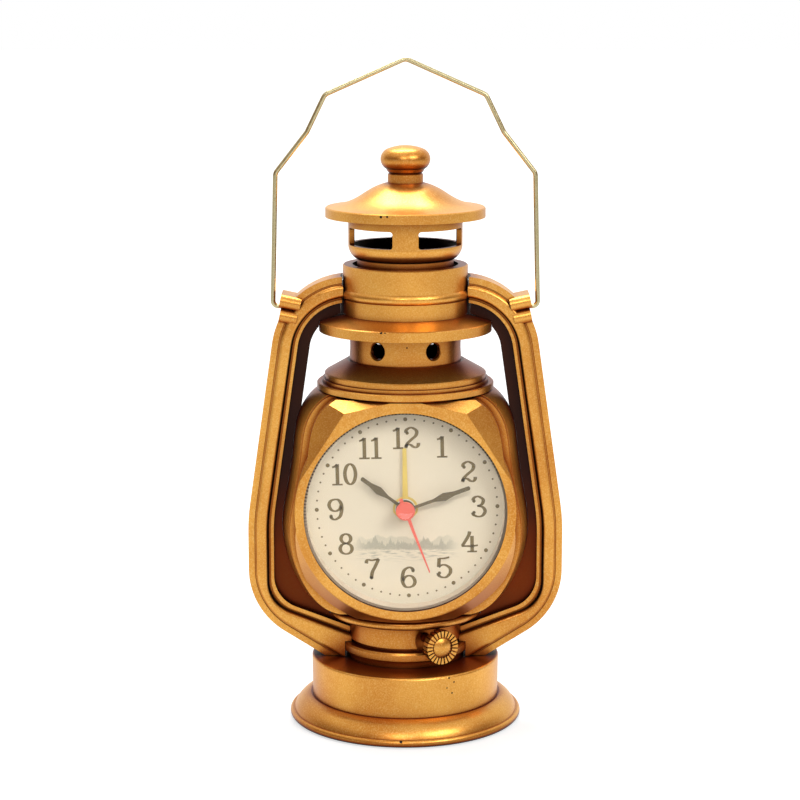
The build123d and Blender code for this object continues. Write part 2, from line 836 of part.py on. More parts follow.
def contact_spring():
    """The coiled contact at the battery's negative end, on its plate."""
    height, level = cell_place()
    start = -(cell_length / 2 + cell_nub_length + bay_end_gap)
    reach = -cell_length / 2 - start - contact_thickness
    path = Helix((reach - 2 * spring_wire) / spring_turns, reach - 2 * spring_wire, spring_radius)
    wire = sweep(Plane(origin=path @ 0, z_dir=path % 0) * Circle(spring_wire), path=path)
    plate = Pos(0, 0, contact_thickness / 2) * Box(contact_size[0], contact_size[1], contact_thickness)
    coil = Pos(0, 0, contact_thickness + spring_wire / 2) * wire + plate
    return forward(Pos(start, height, level) * Rot(0, 90, 0) * coil)


def alarm_slider():
    """The alarm's on and off slider: a button outside, a stem and a flange inside."""
    low = rear_face - slip_gap - switch_button[2]
    inner = -globe_rear_depth + slip_gap
    button = block(switch_button[0], switch_button[1], low, rear_face - slip_gap, switch_place)
    stem = block(switch_stem[0], switch_stem[1], low, inner, switch_place)
    flange = block(switch_flange[0], switch_flange[1], inner, inner + switch_flange[2], switch_place)
    return forward(Pos(-switch_travel / 2, 0, 0) * (button + stem + flange))


def buzzer():
    """The round buzzer behind the slots of the rear cover."""
    low = -globe_rear_depth + slip_gap
    can = disc(buzzer_radius, low, low + buzzer_height, buzzer_place)
    return forward(can - disc(buzzer_radius / 4, 2 * rear_face, low + buzzer_height / 2, buzzer_place))


# Base

def base_drum():
    """The round oil-tank base: a turned lip, a rolled flange and a drum, hollow below."""
    lip_flat = lip_radius - lip_round
    step = lip_radius - lip_step
    foot = drum_radius + lip_round
    slope = math.atan2(flange_height - lip_height, step - foot)
    swell = ((step + foot) / 2 + flange_swell * math.sin(slope),
             (lip_height + flange_height) / 2 + flange_swell * math.cos(slope))
    ease = drum_edge_round * 0.3
    edge_z = drum_height - drum_edge_round
    edge_radius = drum_top_radius - drum_edge_round
    outer = [ThreePointArc((lip_flat, lip_lift), (lip_radius, (lip_lift + lip_height) / 2),
                           (lip_flat, lip_height)),
             Line((lip_flat, lip_height), (step, lip_height)),
             ThreePointArc((step, lip_height), swell, (foot, flange_height)),
             Line((foot, flange_height), (drum_radius, flange_height)),
             Line((drum_radius, flange_height), (drum_top_radius, edge_z)),
             ThreePointArc((drum_top_radius, edge_z), (drum_top_radius - ease, drum_height - ease),
                           (edge_radius, drum_height))]
    top_inside = drum_height - wall
    rabbet = foot_ring_height + bottom_plate_height
    rim = foot_ring_radius + seat_gap
    way = collar_foot_radius / 3
    inner = Polyline((edge_radius, drum_height), (way, drum_height), (way, top_inside),
                     (drum_top_radius - wall, top_inside), (drum_radius - wall, flange_height),
                     (drum_radius - wall, rabbet), (rim, rabbet), (rim, lip_lift), (lip_flat,
                                                                                    lip_lift)).edges()
    edges = [edge.edge() for edge in outer] + list(inner)
    drum = turned(edges)
    post = disc(bottom_post_radius, rabbet, drum_height - wall / 2, (bottom_screw_circle, 0))
    post -= disc(screw_radius - slip_gap, rabbet - overcut, rabbet + screw_length,
                 (bottom_screw_circle, 0))
    for copy in round_the_axis(post, bottom_screw_count, 90):
        drum += copy
    return drum


def bottom_plate():
    """The plate that closes the base."""
    plate = disc(foot_ring_radius, foot_ring_height, foot_ring_height + bottom_plate_height)
    hole = disc(screw_radius + seat_gap, 0, drum_height, (bottom_screw_circle, 0))
    hole += disc(screw_head_radius + seat_gap, 0, foot_ring_height + bottom_plate_height / 2,
                 (bottom_screw_circle, 0))
    for copy in round_the_axis(hole, bottom_screw_count, 90):
        plate -= copy
    return plate


def bottom_screws():
    """The screws that hold the bottom plate."""
    head_low = foot_ring_height + bottom_plate_height / 2 - screw_head_height + slip_gap
    head_high = foot_ring_height + bottom_plate_height / 2
    screw = disc(screw_head_radius, head_low, head_high, (bottom_screw_circle, 0))
    screw += disc(screw_radius - seat_gap, head_low,
                  foot_ring_height + bottom_plate_height + screw_length - overcut, (bottom_screw_circle,
                                                                                    0))
    screws = [copy.solid() for copy in round_the_axis(screw, bottom_screw_count, 90)]
    return Compound(children=screws)


def foot_ring():
    """The soft ring that the clock stands on."""
    return tube(foot_ring_radius, foot_ring_radius - foot_ring_width, 0, foot_ring_height)


# Burner collar and wick wheel

def along_wick(shape):
    """A shape drawn along local z, moved so that z points out along the wick wheel's axis."""
    return Rot(0, 0, wick_azimuth - 90) * Pos(0, 0, drum_height + wick_axis_height) * Rot(0, 90,
                                                                                          0) * shape


def burner_collar():
    """The collar between base and globe, with the pocket and bearing of the wick wheel."""
    ring_low = collar_z + collar_foot_height
    ring_high = ring_low + collar_ring_height
    band_low = ring_high + collar_groove_height
    bulge = collar_ring_radius - lip_round / 2
    profile = [(0, collar_z), (collar_foot_radius, collar_z), (collar_foot_radius, ring_low),
               (bulge, ring_low),
               (collar_ring_radius, ring_low + lip_round), (collar_ring_radius,
                                                            ring_high - lip_round), (bulge, ring_high),
               (collar_groove_radius, ring_high), (collar_groove_radius, band_low), (collar_radius,
                                                                                     band_low),
               (collar_radius, seat_z), (0, seat_z)]
    body = turned(outline(*profile))
    hollow = collar_groove_radius - wall
    body -= disc(hollow, collar_z - overcut, seat_z + overcut)
    sleeve_end = wick_face_reach - wick_stem_length - wick_wheel_thickness
    sleeve = disc(wick_stem_radius + wick_sleeve_wall, sleeve_end, hollow + overcut)
    pocket_back = disc(wick_pocket_radius + wick_sleeve_wall, wick_pocket_floor - wall, hollow + overcut)
    body += along_wick(sleeve + pocket_back) & disc(collar_radius - slip_gap, collar_z, seat_z)
    body -= along_wick(disc(wick_pocket_radius, wick_pocket_floor, 2 * collar_radius))
    return body - along_wick(disc(wick_stem_radius + slip_gap, 0, 2 * collar_radius))


def wick_outline(root):
    """The wick wheel's outline, notched down to a root radius between its pads."""
    points = []
    pitch = 2 * math.pi / wick_pad_count
    for pad in range(wick_pad_count):
        middle = pad * pitch
        root_half = pitch / 2 - math.asin(wick_notch_width / 2 / root)
        rim_half = pitch / 2 - math.asin(wick_notch_width / 2 / wick_wheel_radius)
        for radius, angle in ((root, middle - root_half), (wick_wheel_radius, middle - rim_half),
                              (wick_wheel_radius, middle + rim_half), (root, middle + root_half)):
            points.append((radius * math.cos(angle), radius * math.sin(angle)))
    return make_face(Polyline(*points, close=True).edges())


def wick_wheel():
    """The small wheel on its stem: notched rim, raised pads on its face and a domed middle."""
    back = wick_face_reach - wick_wheel_thickness
    pad_low = wick_face_reach - wick_pad_height
    wheel = Pos(0, 0, back) * extrude(wick_outline(wick_wheel_radius - wick_notch_depth),
                                      wick_wheel_thickness - wick_pad_height)
    pads = Pos(0, 0, pad_low) * extrude(wick_outline(wick_pad_start), wick_pad_height)
    wheel += pads - disc(wick_pad_start, pad_low, wick_face_reach + overcut)
    dome_low = wick_face_reach - wick_dome_drop
    root_z = pad_low - wick_pad_height
    sides = Polyline((0, dome_low + wick_dome_height), (0, root_z), (wick_dome_radius, root_z),
                     (wick_dome_radius, dome_low)).edges()
    button = turned([dome_arc(wick_dome_radius, dome_low, wick_dome_height)] + list(sides))
    stem = disc(wick_stem_radius, back - wick_stem_length, back + wick_pad_height)
    return along_wick(wheel + button + stem)


def wick_clip():
    """The ring clip that keeps the wick wheel's stem in its sleeve."""
    end = wick_face_reach - wick_stem_length - wick_wheel_thickness
    clip = disc(wick_stop_radius, end - wick_stop_thickness - slip_gap, end - slip_gap)
    return along_wick(clip)


def globe_seat():
    """The rounded ring that the globe stands on."""
    middle = seat_z + seat_height / 2
    bulge = seat_radius - seat_height / 2
    arc = ThreePointArc((bulge, seat_z), (seat_radius, middle), (bulge, globe_z))
    inner = collar_groove_radius - wall
    sides = Polyline((bulge, globe_z), (inner, globe_z), (inner, seat_z), (bulge, seat_z)).edges()
    return turned([arc.edge()] + list(sides))


# Upper works

def cap_ring():
    """The stepped ring that closes the globe."""
    groove_z = globe_top_z + cap_ring_height
    step_z = groove_z + cap_groove_height
    cone_z = step_z + cap_step_height
    chamfer_size = lip_round / 2
    inner = neck_radius - wall
    profile = [(inner, globe_top_z), (cap_ring_radius - chamfer_size, globe_top_z),
               (cap_ring_radius, globe_top_z + chamfer_size),
               (cap_ring_radius, groove_z - chamfer_size), (cap_ring_radius - chamfer_size,
                                                            groove_z), (cap_groove_radius, groove_z),
               (cap_groove_radius, step_z), (cap_step_radius, step_z), (cap_step_radius,
                                                                        cone_z - chamfer_size),
               (cap_step_radius - chamfer_size, cone_z), (neck_radius + wall / 2, neck_z), (inner,
                                                                                            neck_z)]
    return turned(outline(*profile))


def neck():
    """The neck with its ring of draught holes."""
    body = tube(neck_radius, neck_radius - wall, neck_z, hood_z)
    reach = neck_radius + overcut
    vent = disc(neck_vent_radius, 0, reach)
    flare = Cone(neck_vent_radius, neck_vent_radius + neck_vent_flare * 3, neck_vent_flare * 3)
    vent += Pos(0, 0, neck_radius + neck_vent_flare / 2) * flare
    vent = Pos(0, 0, neck_z + neck_vent_height) * Rot(0, 90, 0) * vent
    for copy in round_the_axis(vent, neck_vent_count, -90 + 180 / neck_vent_count):
        body -= copy
    return body


def hood():
    """The wide hood over the neck, hollow below."""
    rim_z = hood_z + hood_rim_height
    profile = [(neck_radius - wall, hood_z), (neck_radius, hood_z), (neck_radius, chimney_z - wall),
               (hood_top_radius, chimney_z - wall), (hood_radius - wall,
                                                     rim_z - wall / 2), (hood_radius - wall,
                                                                         hood_z), (hood_radius, hood_z),
               (hood_radius, rim_z), (hood_radius - lip_round / 2,
                                      rim_z + lip_round / 3), (hood_top_radius,
                                                               chimney_z), (neck_radius - wall,
                                                                            chimney_z)]
    return turned(outline(*profile))


def chimney():
    """The chimney with its raised bead and the recess for the vent cage."""
    bead_z = chimney_z + chimney_bead_height
    bead_low = bead_z - chimney_bead_half_height
    bead_high = bead_z + chimney_bead_half_height
    edge = lip_round / 2
    recess_z = cage_z - chimney_recess_depth
    way = cage_foot_radius - 2 * wall
    inner = chimney_radius - 2 * wall
    outer = [Line((chimney_radius, chimney_z), (chimney_radius, bead_low)),
             ThreePointArc((chimney_radius, bead_low), (chimney_radius + chimney_bead_swell, bead_z),
                           (chimney_radius, bead_high)),
             Line((chimney_radius, bead_high), (chimney_radius, cage_z - edge))]
    rest = Polyline((chimney_radius, cage_z - edge), (chimney_radius - edge, cage_z),
                    (chimney_recess_radius, cage_z), (chimney_recess_radius, recess_z), (way, recess_z),
                    (way, recess_z - wall), (inner, recess_z - wall), (inner, chimney_z),
                    (chimney_radius, chimney_z)).edges()
    return turned([edge.edge() for edge in outer] + list(rest))


def vent_cage():
    """The vent cage under the cap: a bowl foot and a ring wall with wide windows."""
    foot_z = cage_z - chimney_recess_depth
    low = cage_z + cage_flare_low
    high = cage_z + cage_flare_high
    middle = ((cage_foot_radius + cage_radius) / 2 + cage_wall / 4, (low + high) / 2 - cage_wall / 3)
    outer = [Line((cage_foot_radius, foot_z), (cage_foot_radius, low)).edge(),
             ThreePointArc((cage_foot_radius, low), middle, (cage_radius, high)).edge(),
             Line((cage_radius, high), (cage_radius, cap_z)).edge()]
    inside = [Line((cage_radius, cap_z), (cage_radius - cage_wall, cap_z)).edge(),
              Line((cage_radius - cage_wall, cap_z),
                   (cage_radius - cage_wall, high + cage_wall / 3)).edge(),
              ThreePointArc((cage_radius - cage_wall, high + cage_wall / 3),
                            (middle[0] - cage_wall, middle[1] + cage_wall / 3),
                            (cage_foot_radius - cage_wall, low + cage_wall / 3)).edge(),
              Line((cage_foot_radius - cage_wall, low + cage_wall / 3), (0, low + cage_wall / 3)).edge(),
              Line((0, low + cage_wall / 3), (0, low - cage_wall)).edge(),
              Line((0, low - cage_wall), (cage_foot_radius - cage_wall, low - cage_wall)).edge(),
              Line((cage_foot_radius - cage_wall, low - cage_wall),
                   (cage_foot_radius - cage_wall, foot_z)).edge(),
              Line((cage_foot_radius - cage_wall, foot_z), (cage_foot_radius, foot_z)).edge()]
    cage = turned(outer + inside)
    window_low = cage_z + cage_window_low
    half_pillar = math.degrees(math.asin(cage_pillar_width / 2 / cage_radius))
    sweep_angle = 360 / cage_window_count - 2 * half_pillar
    opening = tube(cage_radius + overcut, cage_radius - cage_wall - overcut, window_low,
                   window_low + cage_window_height)
    wedge = window_wedge(sweep_angle, window_low)
    window = fillet((opening & wedge).edges().filter_by(window_corner), cage_window_round)
    for copy in round_the_axis(window, cage_window_count, -90 + 180 / cage_window_count):
        cage -= copy
    return cage


def window_wedge(angle, low):
    """A wedge about the x axis that bounds one window."""
    reach = 3 * cage_radius
    side = (reach, reach * math.tan(math.radians(angle / 2)))
    triangle = make_face(Polyline((0, 0), side, (side[0], -side[1]), close=True).edges())
    return Pos(0, 0, low - overcut) * extrude(triangle, cage_window_height + 2 * overcut)


def window_corner(edge):
    """True for the straight edges that run outward at a window's corners."""
    return edge.geom_type == GeomType.LINE and abs((edge % 0.5).Z) < 0.5


def cap():
    """The wide cap: a rim and a long wavy slope up to the finial, hollow below."""
    rim_z = cap_z + cap_rim_height
    edge = lip_round / 2
    slope = [(finial_neck_radius, finial_z)]
    slope += [(radius * cap_radius, rim_z + rise * (finial_z - rim_z)) for radius, rise in cap_curve]
    slope += [(cap_radius - edge, rim_z)]
    outer = [Spline(*slope).edge(), Line(slope[-1], (cap_radius, rim_z - edge)).edge(),
             Line((cap_radius, rim_z - edge), (cap_radius, cap_z)).edge()]
    seat = cage_radius + wall
    inner = Polyline((cap_radius, cap_z), (cap_radius - wall, cap_z), (cap_radius - wall, rim_z - wall),
                     (seat, rim_z - wall),
                     (seat, cap_z + slip_gap), (cage_radius, cap_z + slip_gap), (cage_radius,
                                                                                 rim_z - wall),
                     (cage_radius - wall, rim_z - wall / 2), ((finial_neck_radius + cage_radius
                                                               - wall) / 2, (rim_z + finial_z) / 2),
                     (finial_stem_radius, finial_z - wall), (finial_stem_radius,
                                                             finial_z), slope[0]).edges()
    return turned(outer + list(inner))


def finial():
    """The knob on the cap: a flattened ball with a rounded edge on a grooved neck, with its stem."""
    neck_top = finial_z + finial_neck_height
    half_height = finial_ball_height / 2
    middle = neck_top + half_height
    edge_centre = finial_radius - finial_edge_round
    crown = (edge_centre ** 2 + half_height ** 2 - finial_edge_round ** 2) / (2
                                                                              * (half_height
                                                                                 - finial_edge_round))
    share = crown / (crown - finial_edge_round)
    joint = (share * edge_centre, middle + half_height - crown + share * (crown - half_height))
    under = math.radians(finial_ball_angle)
    low = (edge_centre + finial_edge_round * math.cos(under),
           middle - finial_edge_round * math.sin(under))
    edge = ThreePointArc(low, (finial_radius, middle), joint).edge()
    top = dome_arc(joint[0], joint[1], middle + half_height - joint[1])
    stem = finial_stem_radius - slip_gap
    rest = Polyline((0, middle + half_height), (0, finial_z - wall), (stem, finial_z - wall),
                    (stem, finial_z),
                    (finial_neck_radius, finial_z), (finial_neck_radius, neck_top - finial_groove),
                    (finial_neck_radius - finial_groove, neck_top), (finial_neck_radius,
                                                                     neck_top + finial_groove), low).edges()
    return turned([edge, top] + list(rest))


# Side arms

def core():
    """The filled outline of everything on the lantern's axis that the arms end against."""
    gap = seat_gap
    curve = [(radius + gap, height) for radius, height in globe_points()]
    ring_z = collar_z + collar_foot_height + collar_ring_height + gap
    rim_z = hood_z + hood_rim_height
    drum_foot = drum_radius + gap
    drum_head = drum_top_radius + gap
    step = lip_radius + gap
    collar_ring = collar_ring_radius + gap
    collar = collar_radius + gap
    seat = seat_radius + gap
    cap_edge = cap_ring_radius + gap
    stack = neck_radius + gap
    brim = hood_radius + gap
    flue = chimney_radius + chimney_bead_swell + gap
    base = [(0, -overcut), (step, -overcut), (step, flange_height + gap),
            (drum_foot, flange_height + gap)]
    drum = [(drum_head, collar_z - drum_edge_round), (drum_head, collar_z + gap)]
    burner = [(collar_ring, collar_z + gap), (collar_ring, ring_z), (collar, ring_z),
              (collar, seat_z - gap)]
    low = Polyline(*base, *drum, *burner, (seat, seat_z - gap), (seat, globe_z), curve[0]).edges()
    ring = [curve[-1], (cap_edge, globe_top_z), (cap_edge, neck_z), (stack, neck_z),
            (stack, hood_z - gap)]
    hood_edge = [(brim, hood_z - gap), (brim, rim_z + gap), (hood_top_radius + gap, chimney_z + gap)]
    top = [(flue, chimney_z + gap), (flue, cage_z + gap), (0, cage_z + gap), (0, -overcut)]
    high = Polyline(*ring, *hood_edge, *top).edges()
    return turned(list(low) + [Spline(*curve).edge()] + list(high))


def arm_outline(width, heel_height, heel_radius, foot_slope):
    """One closed region inside the arm's outline, set in by a width, drawn for the right arm."""
    top = chimney_z + arm_top_height - width
    lean = math.atan2(arm_half_span - arm_corner_span,
                      chimney_z + arm_top_height - collar_z - arm_bend_height)
    bend_z = collar_z + arm_bend_height - width * math.tan(lean / 2)
    across = arm_half_span - width
    corner = across - (top - bend_z) * math.tan(lean)
    heel_z = collar_z + heel_height
    foot = heel_z - (across + arm_half_span) * math.tan(math.radians(foot_slope))
    points = [(-arm_half_span, top), (corner, top), (across, bend_z), (across, heel_z),
              (-arm_half_span, foot)]
    radii = [arm_shoulder_radius - width, arm_bend_radius, heel_radius]
    path = FilletPolyline(*points, radius=radii)
    return make_face(list(path.edges()) + [Line(points[-1], points[0]).edge()])


def arm_region(width):
    """The region inside the arm's outer outline, set in evenly."""
    lift = width / math.cos(math.radians(arm_foot_slope)) - width * math.tan(math.radians(arm_foot_slope))
    return arm_outline(width, arm_heel_height + lift, arm_heel_radius - width, arm_foot_slope)


def arm_inside(grow=0.0):
    """The region inside the arm's band, grown by a margin."""
    return arm_outline(arm_band_width - grow, arm_inner_heel_height - grow, arm_inner_heel_radius,
                       arm_inner_foot_slope)


def arm_half():
    """The front half of the right arm: web, band, raised crown, line, groove and ear, hollow behind."""
    shoulder_inside = arm_region(arm_web_width)
    upper = Pos(0, globe_z + globe_height * 0.39 + 2 * globe_height) * Rectangle(4 * arm_half_span,
                                                                                 4 * globe_height)
    web = arm_region(0) - (shoulder_inside & upper)
    band = arm_region(0) - arm_inside()
    crown = arm_region(arm_crown_start) - arm_inside(arm_crown_end)
    line = arm_region(arm_line_start) - arm_region(arm_line_start + arm_line_width)
    groove = arm_inside(arm_crown_end) - arm_inside(arm_crown_end - arm_groove_width)
    hollow = arm_region(arm_wall) - arm_inside(arm_wall)
    right = Pos(arm_half_span + collar_radius / 2, 0) * Rectangle(2 * arm_half_span,
                                                                  4 * (globe_z + 2 * globe_height))
    arm = extrude(web & right, arm_web_half_depth)
    arm += extrude(band & right, arm_half_depth)
    raised = extrude(crown & right, arm_crown_height)
    raised = fillet(raised.faces().sort_by(Axis.Z)[-1].edges(), arm_crown_round)
    arm += Pos(0, 0, arm_half_depth) * raised
    arm -= Pos(0, 0, arm_half_depth - arm_line_depth) * extrude(line & right, arm_line_depth + overcut)
    arm -= Pos(0, 0, arm_half_depth - arm_groove_depth) * extrude(groove & right,
                                                                  arm_groove_depth + overcut)
    arm -= extrude(hollow & right, arm_half_depth - arm_wall)
    arm = Plane.XZ * arm
    arm += ear_half()
    arm -= core()
    hole = Pos(bail_leg_span - bail_pin_length - part_gap, 0, pivot_z) * Rot(0, 90, 0) * Cylinder(
        bail_wire_radius + 2 * slip_gap, 2 * bail_pin_length, align=(Align.CENTER, Align.CENTER,
                                                                     Align.MIN))
    return arm - hole


def ear_half():
    """The front half of the two stacked lobes that hold the bail."""
    lobes = Part()
    for step, (start, end) in enumerate(ear_spans):
        lobe = Box(end - start, ear_half_depth - ear_height / 2, ear_height,
                   align=(Align.MIN, Align.MAX, Align.CENTER))
        nose = Pos(0, -(ear_half_depth - ear_height / 2), 0) * Rot(0, 90, 0) * Cylinder(
            ear_height / 2, end - start, align=(Align.CENTER, Align.CENTER, Align.MIN))
        lobes += Pos(start - arm_corner_span, 0, ear_height / 2 - step * ear_height) * (lobe + nose)
    return Pos(arm_corner_span, 0, pivot_z) * Rot(0, -ear_tilt, 0) * lobes


# Bail

def bail():
    """The bent wire handle with its turned-in ends."""
    half = [(bail_leg_span - bail_pin_length, 0), (bail_leg_span, 0)]
    half += [(bail_leg_span - inset, rise) for inset, rise in bail_bends]
    points = half + [(0, bail_height)] + [(-x, z) for x, z in reversed(half)]
    bail_frame = Plane((0, 0, pivot_z), x_dir=(1, 0, 0), z_dir=(0, -1, 0))
    bends = [bail_foot_bend] + [bail_bend_radius] * (len(points) - 4) + [bail_foot_bend]
    path = bail_frame * FilletPolyline(*points, radius=bends)
    section = Plane(origin=path @ 0, z_dir=path % 0) * Circle(bail_wire_radius)
    return sweep(section, path=path)


def left_of(shape):
    """The mirror image on the lantern's left side."""
    return mirror(shape, about=Plane.YZ)


def rear_of(shape):
    """The mirror image on the lantern's rear side."""
    return mirror(shape, about=Plane.XZ)


def all_pieces():
    """Every piece with its name."""
    arm = arm_half()
    simple = (foot_ring, base_drum, bottom_plate, bottom_screws, burner_collar, wick_wheel, wick_clip,
              globe_seat, globe_front, globe_rear, front_bezel, lens, dial_ring, dial, hour_hand,
              minute_hand, second_hand, alarm_hand, cannon_pinion, hour_wheel, alarm_wheel, second_arbor,
              time_arbor, alarm_arbor, time_knob, alarm_knob, movement_case, middle_plate, movement_lid,
              rear_cover, rear_screws, battery_door, aa_cell, contact_plate, contact_spring, alarm_slider,
              buzzer, cap_ring, neck, hood, chimney, vent_cage, cap, finial, bail)
    pieces = {make.__name__: make() for make in simple}
    pieces["right_arm_front"] = arm
    pieces["right_arm_rear"] = rear_of(arm)
    pieces["left_arm_front"] = left_of(arm)
    pieces["left_arm_rear"] = left_of(rear_of(arm))
    return pieces


os.makedirs("parts", exist_ok=True)
for name, piece in all_pieces().items():
    export_step(piece, f"parts/{name}.step")
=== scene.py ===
# %% [markdown]
# An alarm clock in the shape of an oil lamp stands on a white table.
# The rigid model is already there: every moulded shell, hand and gear comes in at its real size.
# What is left to make is everything that a camera sees and a caliper doesn't: bronze spray paint,
# printed numerals, a clear lens, and light.
# Each step below says what the thing is, how it could be made, and why this way was taken.

# %% Load the model
import math

import bpy
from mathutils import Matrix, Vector
from mathutils.bvhtree import BVHTree


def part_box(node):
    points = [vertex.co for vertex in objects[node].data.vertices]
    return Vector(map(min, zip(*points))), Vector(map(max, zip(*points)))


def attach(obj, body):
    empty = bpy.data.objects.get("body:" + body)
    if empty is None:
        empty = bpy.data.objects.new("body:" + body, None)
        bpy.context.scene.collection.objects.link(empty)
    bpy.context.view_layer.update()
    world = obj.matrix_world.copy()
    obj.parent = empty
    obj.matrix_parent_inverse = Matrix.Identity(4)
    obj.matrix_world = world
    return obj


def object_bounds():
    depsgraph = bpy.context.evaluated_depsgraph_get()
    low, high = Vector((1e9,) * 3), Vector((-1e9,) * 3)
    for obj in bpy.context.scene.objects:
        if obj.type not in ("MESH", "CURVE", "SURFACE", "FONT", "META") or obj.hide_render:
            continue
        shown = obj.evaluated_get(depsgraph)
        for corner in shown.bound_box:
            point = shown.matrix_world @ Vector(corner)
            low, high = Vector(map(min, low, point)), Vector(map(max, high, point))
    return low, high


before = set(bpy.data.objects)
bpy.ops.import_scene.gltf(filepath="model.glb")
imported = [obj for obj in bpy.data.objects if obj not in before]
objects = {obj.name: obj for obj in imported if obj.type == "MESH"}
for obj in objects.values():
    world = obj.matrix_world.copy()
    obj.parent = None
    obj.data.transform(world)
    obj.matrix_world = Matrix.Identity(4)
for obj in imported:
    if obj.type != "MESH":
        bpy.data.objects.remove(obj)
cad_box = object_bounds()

BODY = "lantern"
MM = 0.001

# %% [markdown]
# Everything on the dial is drawn from the dial's middle, so the first thing to read from the model
# is where that middle is. The dial is a thin disc that faces the front, and its box gives its
# centre, its radius and the plane that print would lie on.

# %% The dial's middle
dial_low, dial_high = (Vector(corner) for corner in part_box("dial"))
dial_centre = (dial_low + dial_high) / 2
dial_radius = (dial_high.x - dial_low.x) / 2
dial_face = dial_low.y
print("dial centre height", round(dial_centre.z, 4), "radius", round(dial_radius, 4))

# %% [markdown]
# The camera stands 0.7 m in front of the clock, a little above it, and looks down by about ten
# degrees. From there the lens that fills the picture as the photograph does is 103 mm long.
# It is set up early because it also answers a question that comes back often: which spot of the
# clock lies behind a given pixel of the photograph? A line of sight through the pixel is followed
# until it meets the node's mesh.

# %% Camera
CAMERA_PLACE = Vector((-1.65, -700.0, 232.2)) * MM
CAMERA_DIP = 10.63
CAMERA_LENS = 103.4
SENSOR = 36.0
PICTURE = 800
# A camera that isn't turned looks straight down. Turned up by this much, it looks level.
LEVEL = 90
camera_data = bpy.data.cameras.new("camera")
camera_data.lens = CAMERA_LENS
camera_data.sensor_width = SENSOR
camera = bpy.data.objects.new("camera", camera_data)
camera.location = CAMERA_PLACE
camera.rotation_euler = (math.radians(LEVEL - CAMERA_DIP), 0.0, 0.0)
bpy.context.scene.collection.objects.link(camera)
bpy.context.scene.camera = camera


def spot_behind(node, column, row):
    """The point of a node that lies behind a pixel of the photograph."""
    half = PICTURE / 2
    share = SENSOR / PICTURE / CAMERA_LENS
    sight = Vector(((column - half) * share, (half - row) * share, -1.0))
    sight.rotate(camera.rotation_euler)
    mesh = objects[node].data
    corners = [corner.co for corner in mesh.vertices]
    faces = [face.vertices for face in mesh.polygons]
    place, _, _, _ = BVHTree.FromPolygons(corners, faces).ray_cast(CAMERA_PLACE, sight)
    return place


print("the dial's middle is", round((dial_centre - CAMERA_PLACE).length, 3), "m from the camera")

# %% [markdown]
# A material is a small program made of nodes. Wiring nodes by hand hides what they work out, so a
# small class lets the sums be written as sums: it wraps one output socket, and each operator adds
# the Math node that does it.

# %% Shader sums


class Wire:
    """One output of a node. Python's operators on it add Math nodes."""

    def __init__(self, pot, socket):
        self.pot = pot
        self.socket = socket

    def maths(self, operation, *values):
        """A Math node on wires or numbers."""
        return self.pot.node("ShaderNodeMath", {"operation": operation}, list(values))

    def __add__(self, other):
        return self.maths("ADD", self, other)

    def __sub__(self, other):
        return self.maths("SUBTRACT", self, other)

    def __rsub__(self, other):
        return self.maths("SUBTRACT", other, self)

    def __mul__(self, other):
        return self.maths("MULTIPLY", self, other)

    def __truediv__(self, other):
        return self.maths("DIVIDE", self, other)

    def __pow__(self, other):
        return self.maths("POWER", self, other)

    __radd__ = __add__
    __rmul__ = __mul__

    def __abs__(self):
        return self.maths("ABSOLUTE", self)

    def sine(self):
        return self.maths("SINE", self)

    def smooth(self, low, high):
        """0 below low and 1 above high, with a soft step between."""
        ends = {"Value": self, "From Min": low, "From Max": high}
        return self.pot.node("ShaderNodeMapRange", {"interpolation_type": "SMOOTHSTEP"}, ends)


print("a wire takes + - * / ** and abs, with a wire or a number on the other side")

# %% [markdown]
# A paint pot holds one material while it is mixed. One of its methods makes any node, from the
# node's type, its settings and what goes into its sockets. The rest are short names for the nodes
# that come back in many finishes, such as noise, a bump and the Principled shader. The walls of
# the room are a shader too, so a pot can also hold a world.

# %% Paint pot
AIR_SAMPLES = 8
# A Mix node has its sockets for colours at these places.
MIX_FACTOR, MIX_FIRST, MIX_SECOND, MIX_RESULT = 0, 6, 7, 2


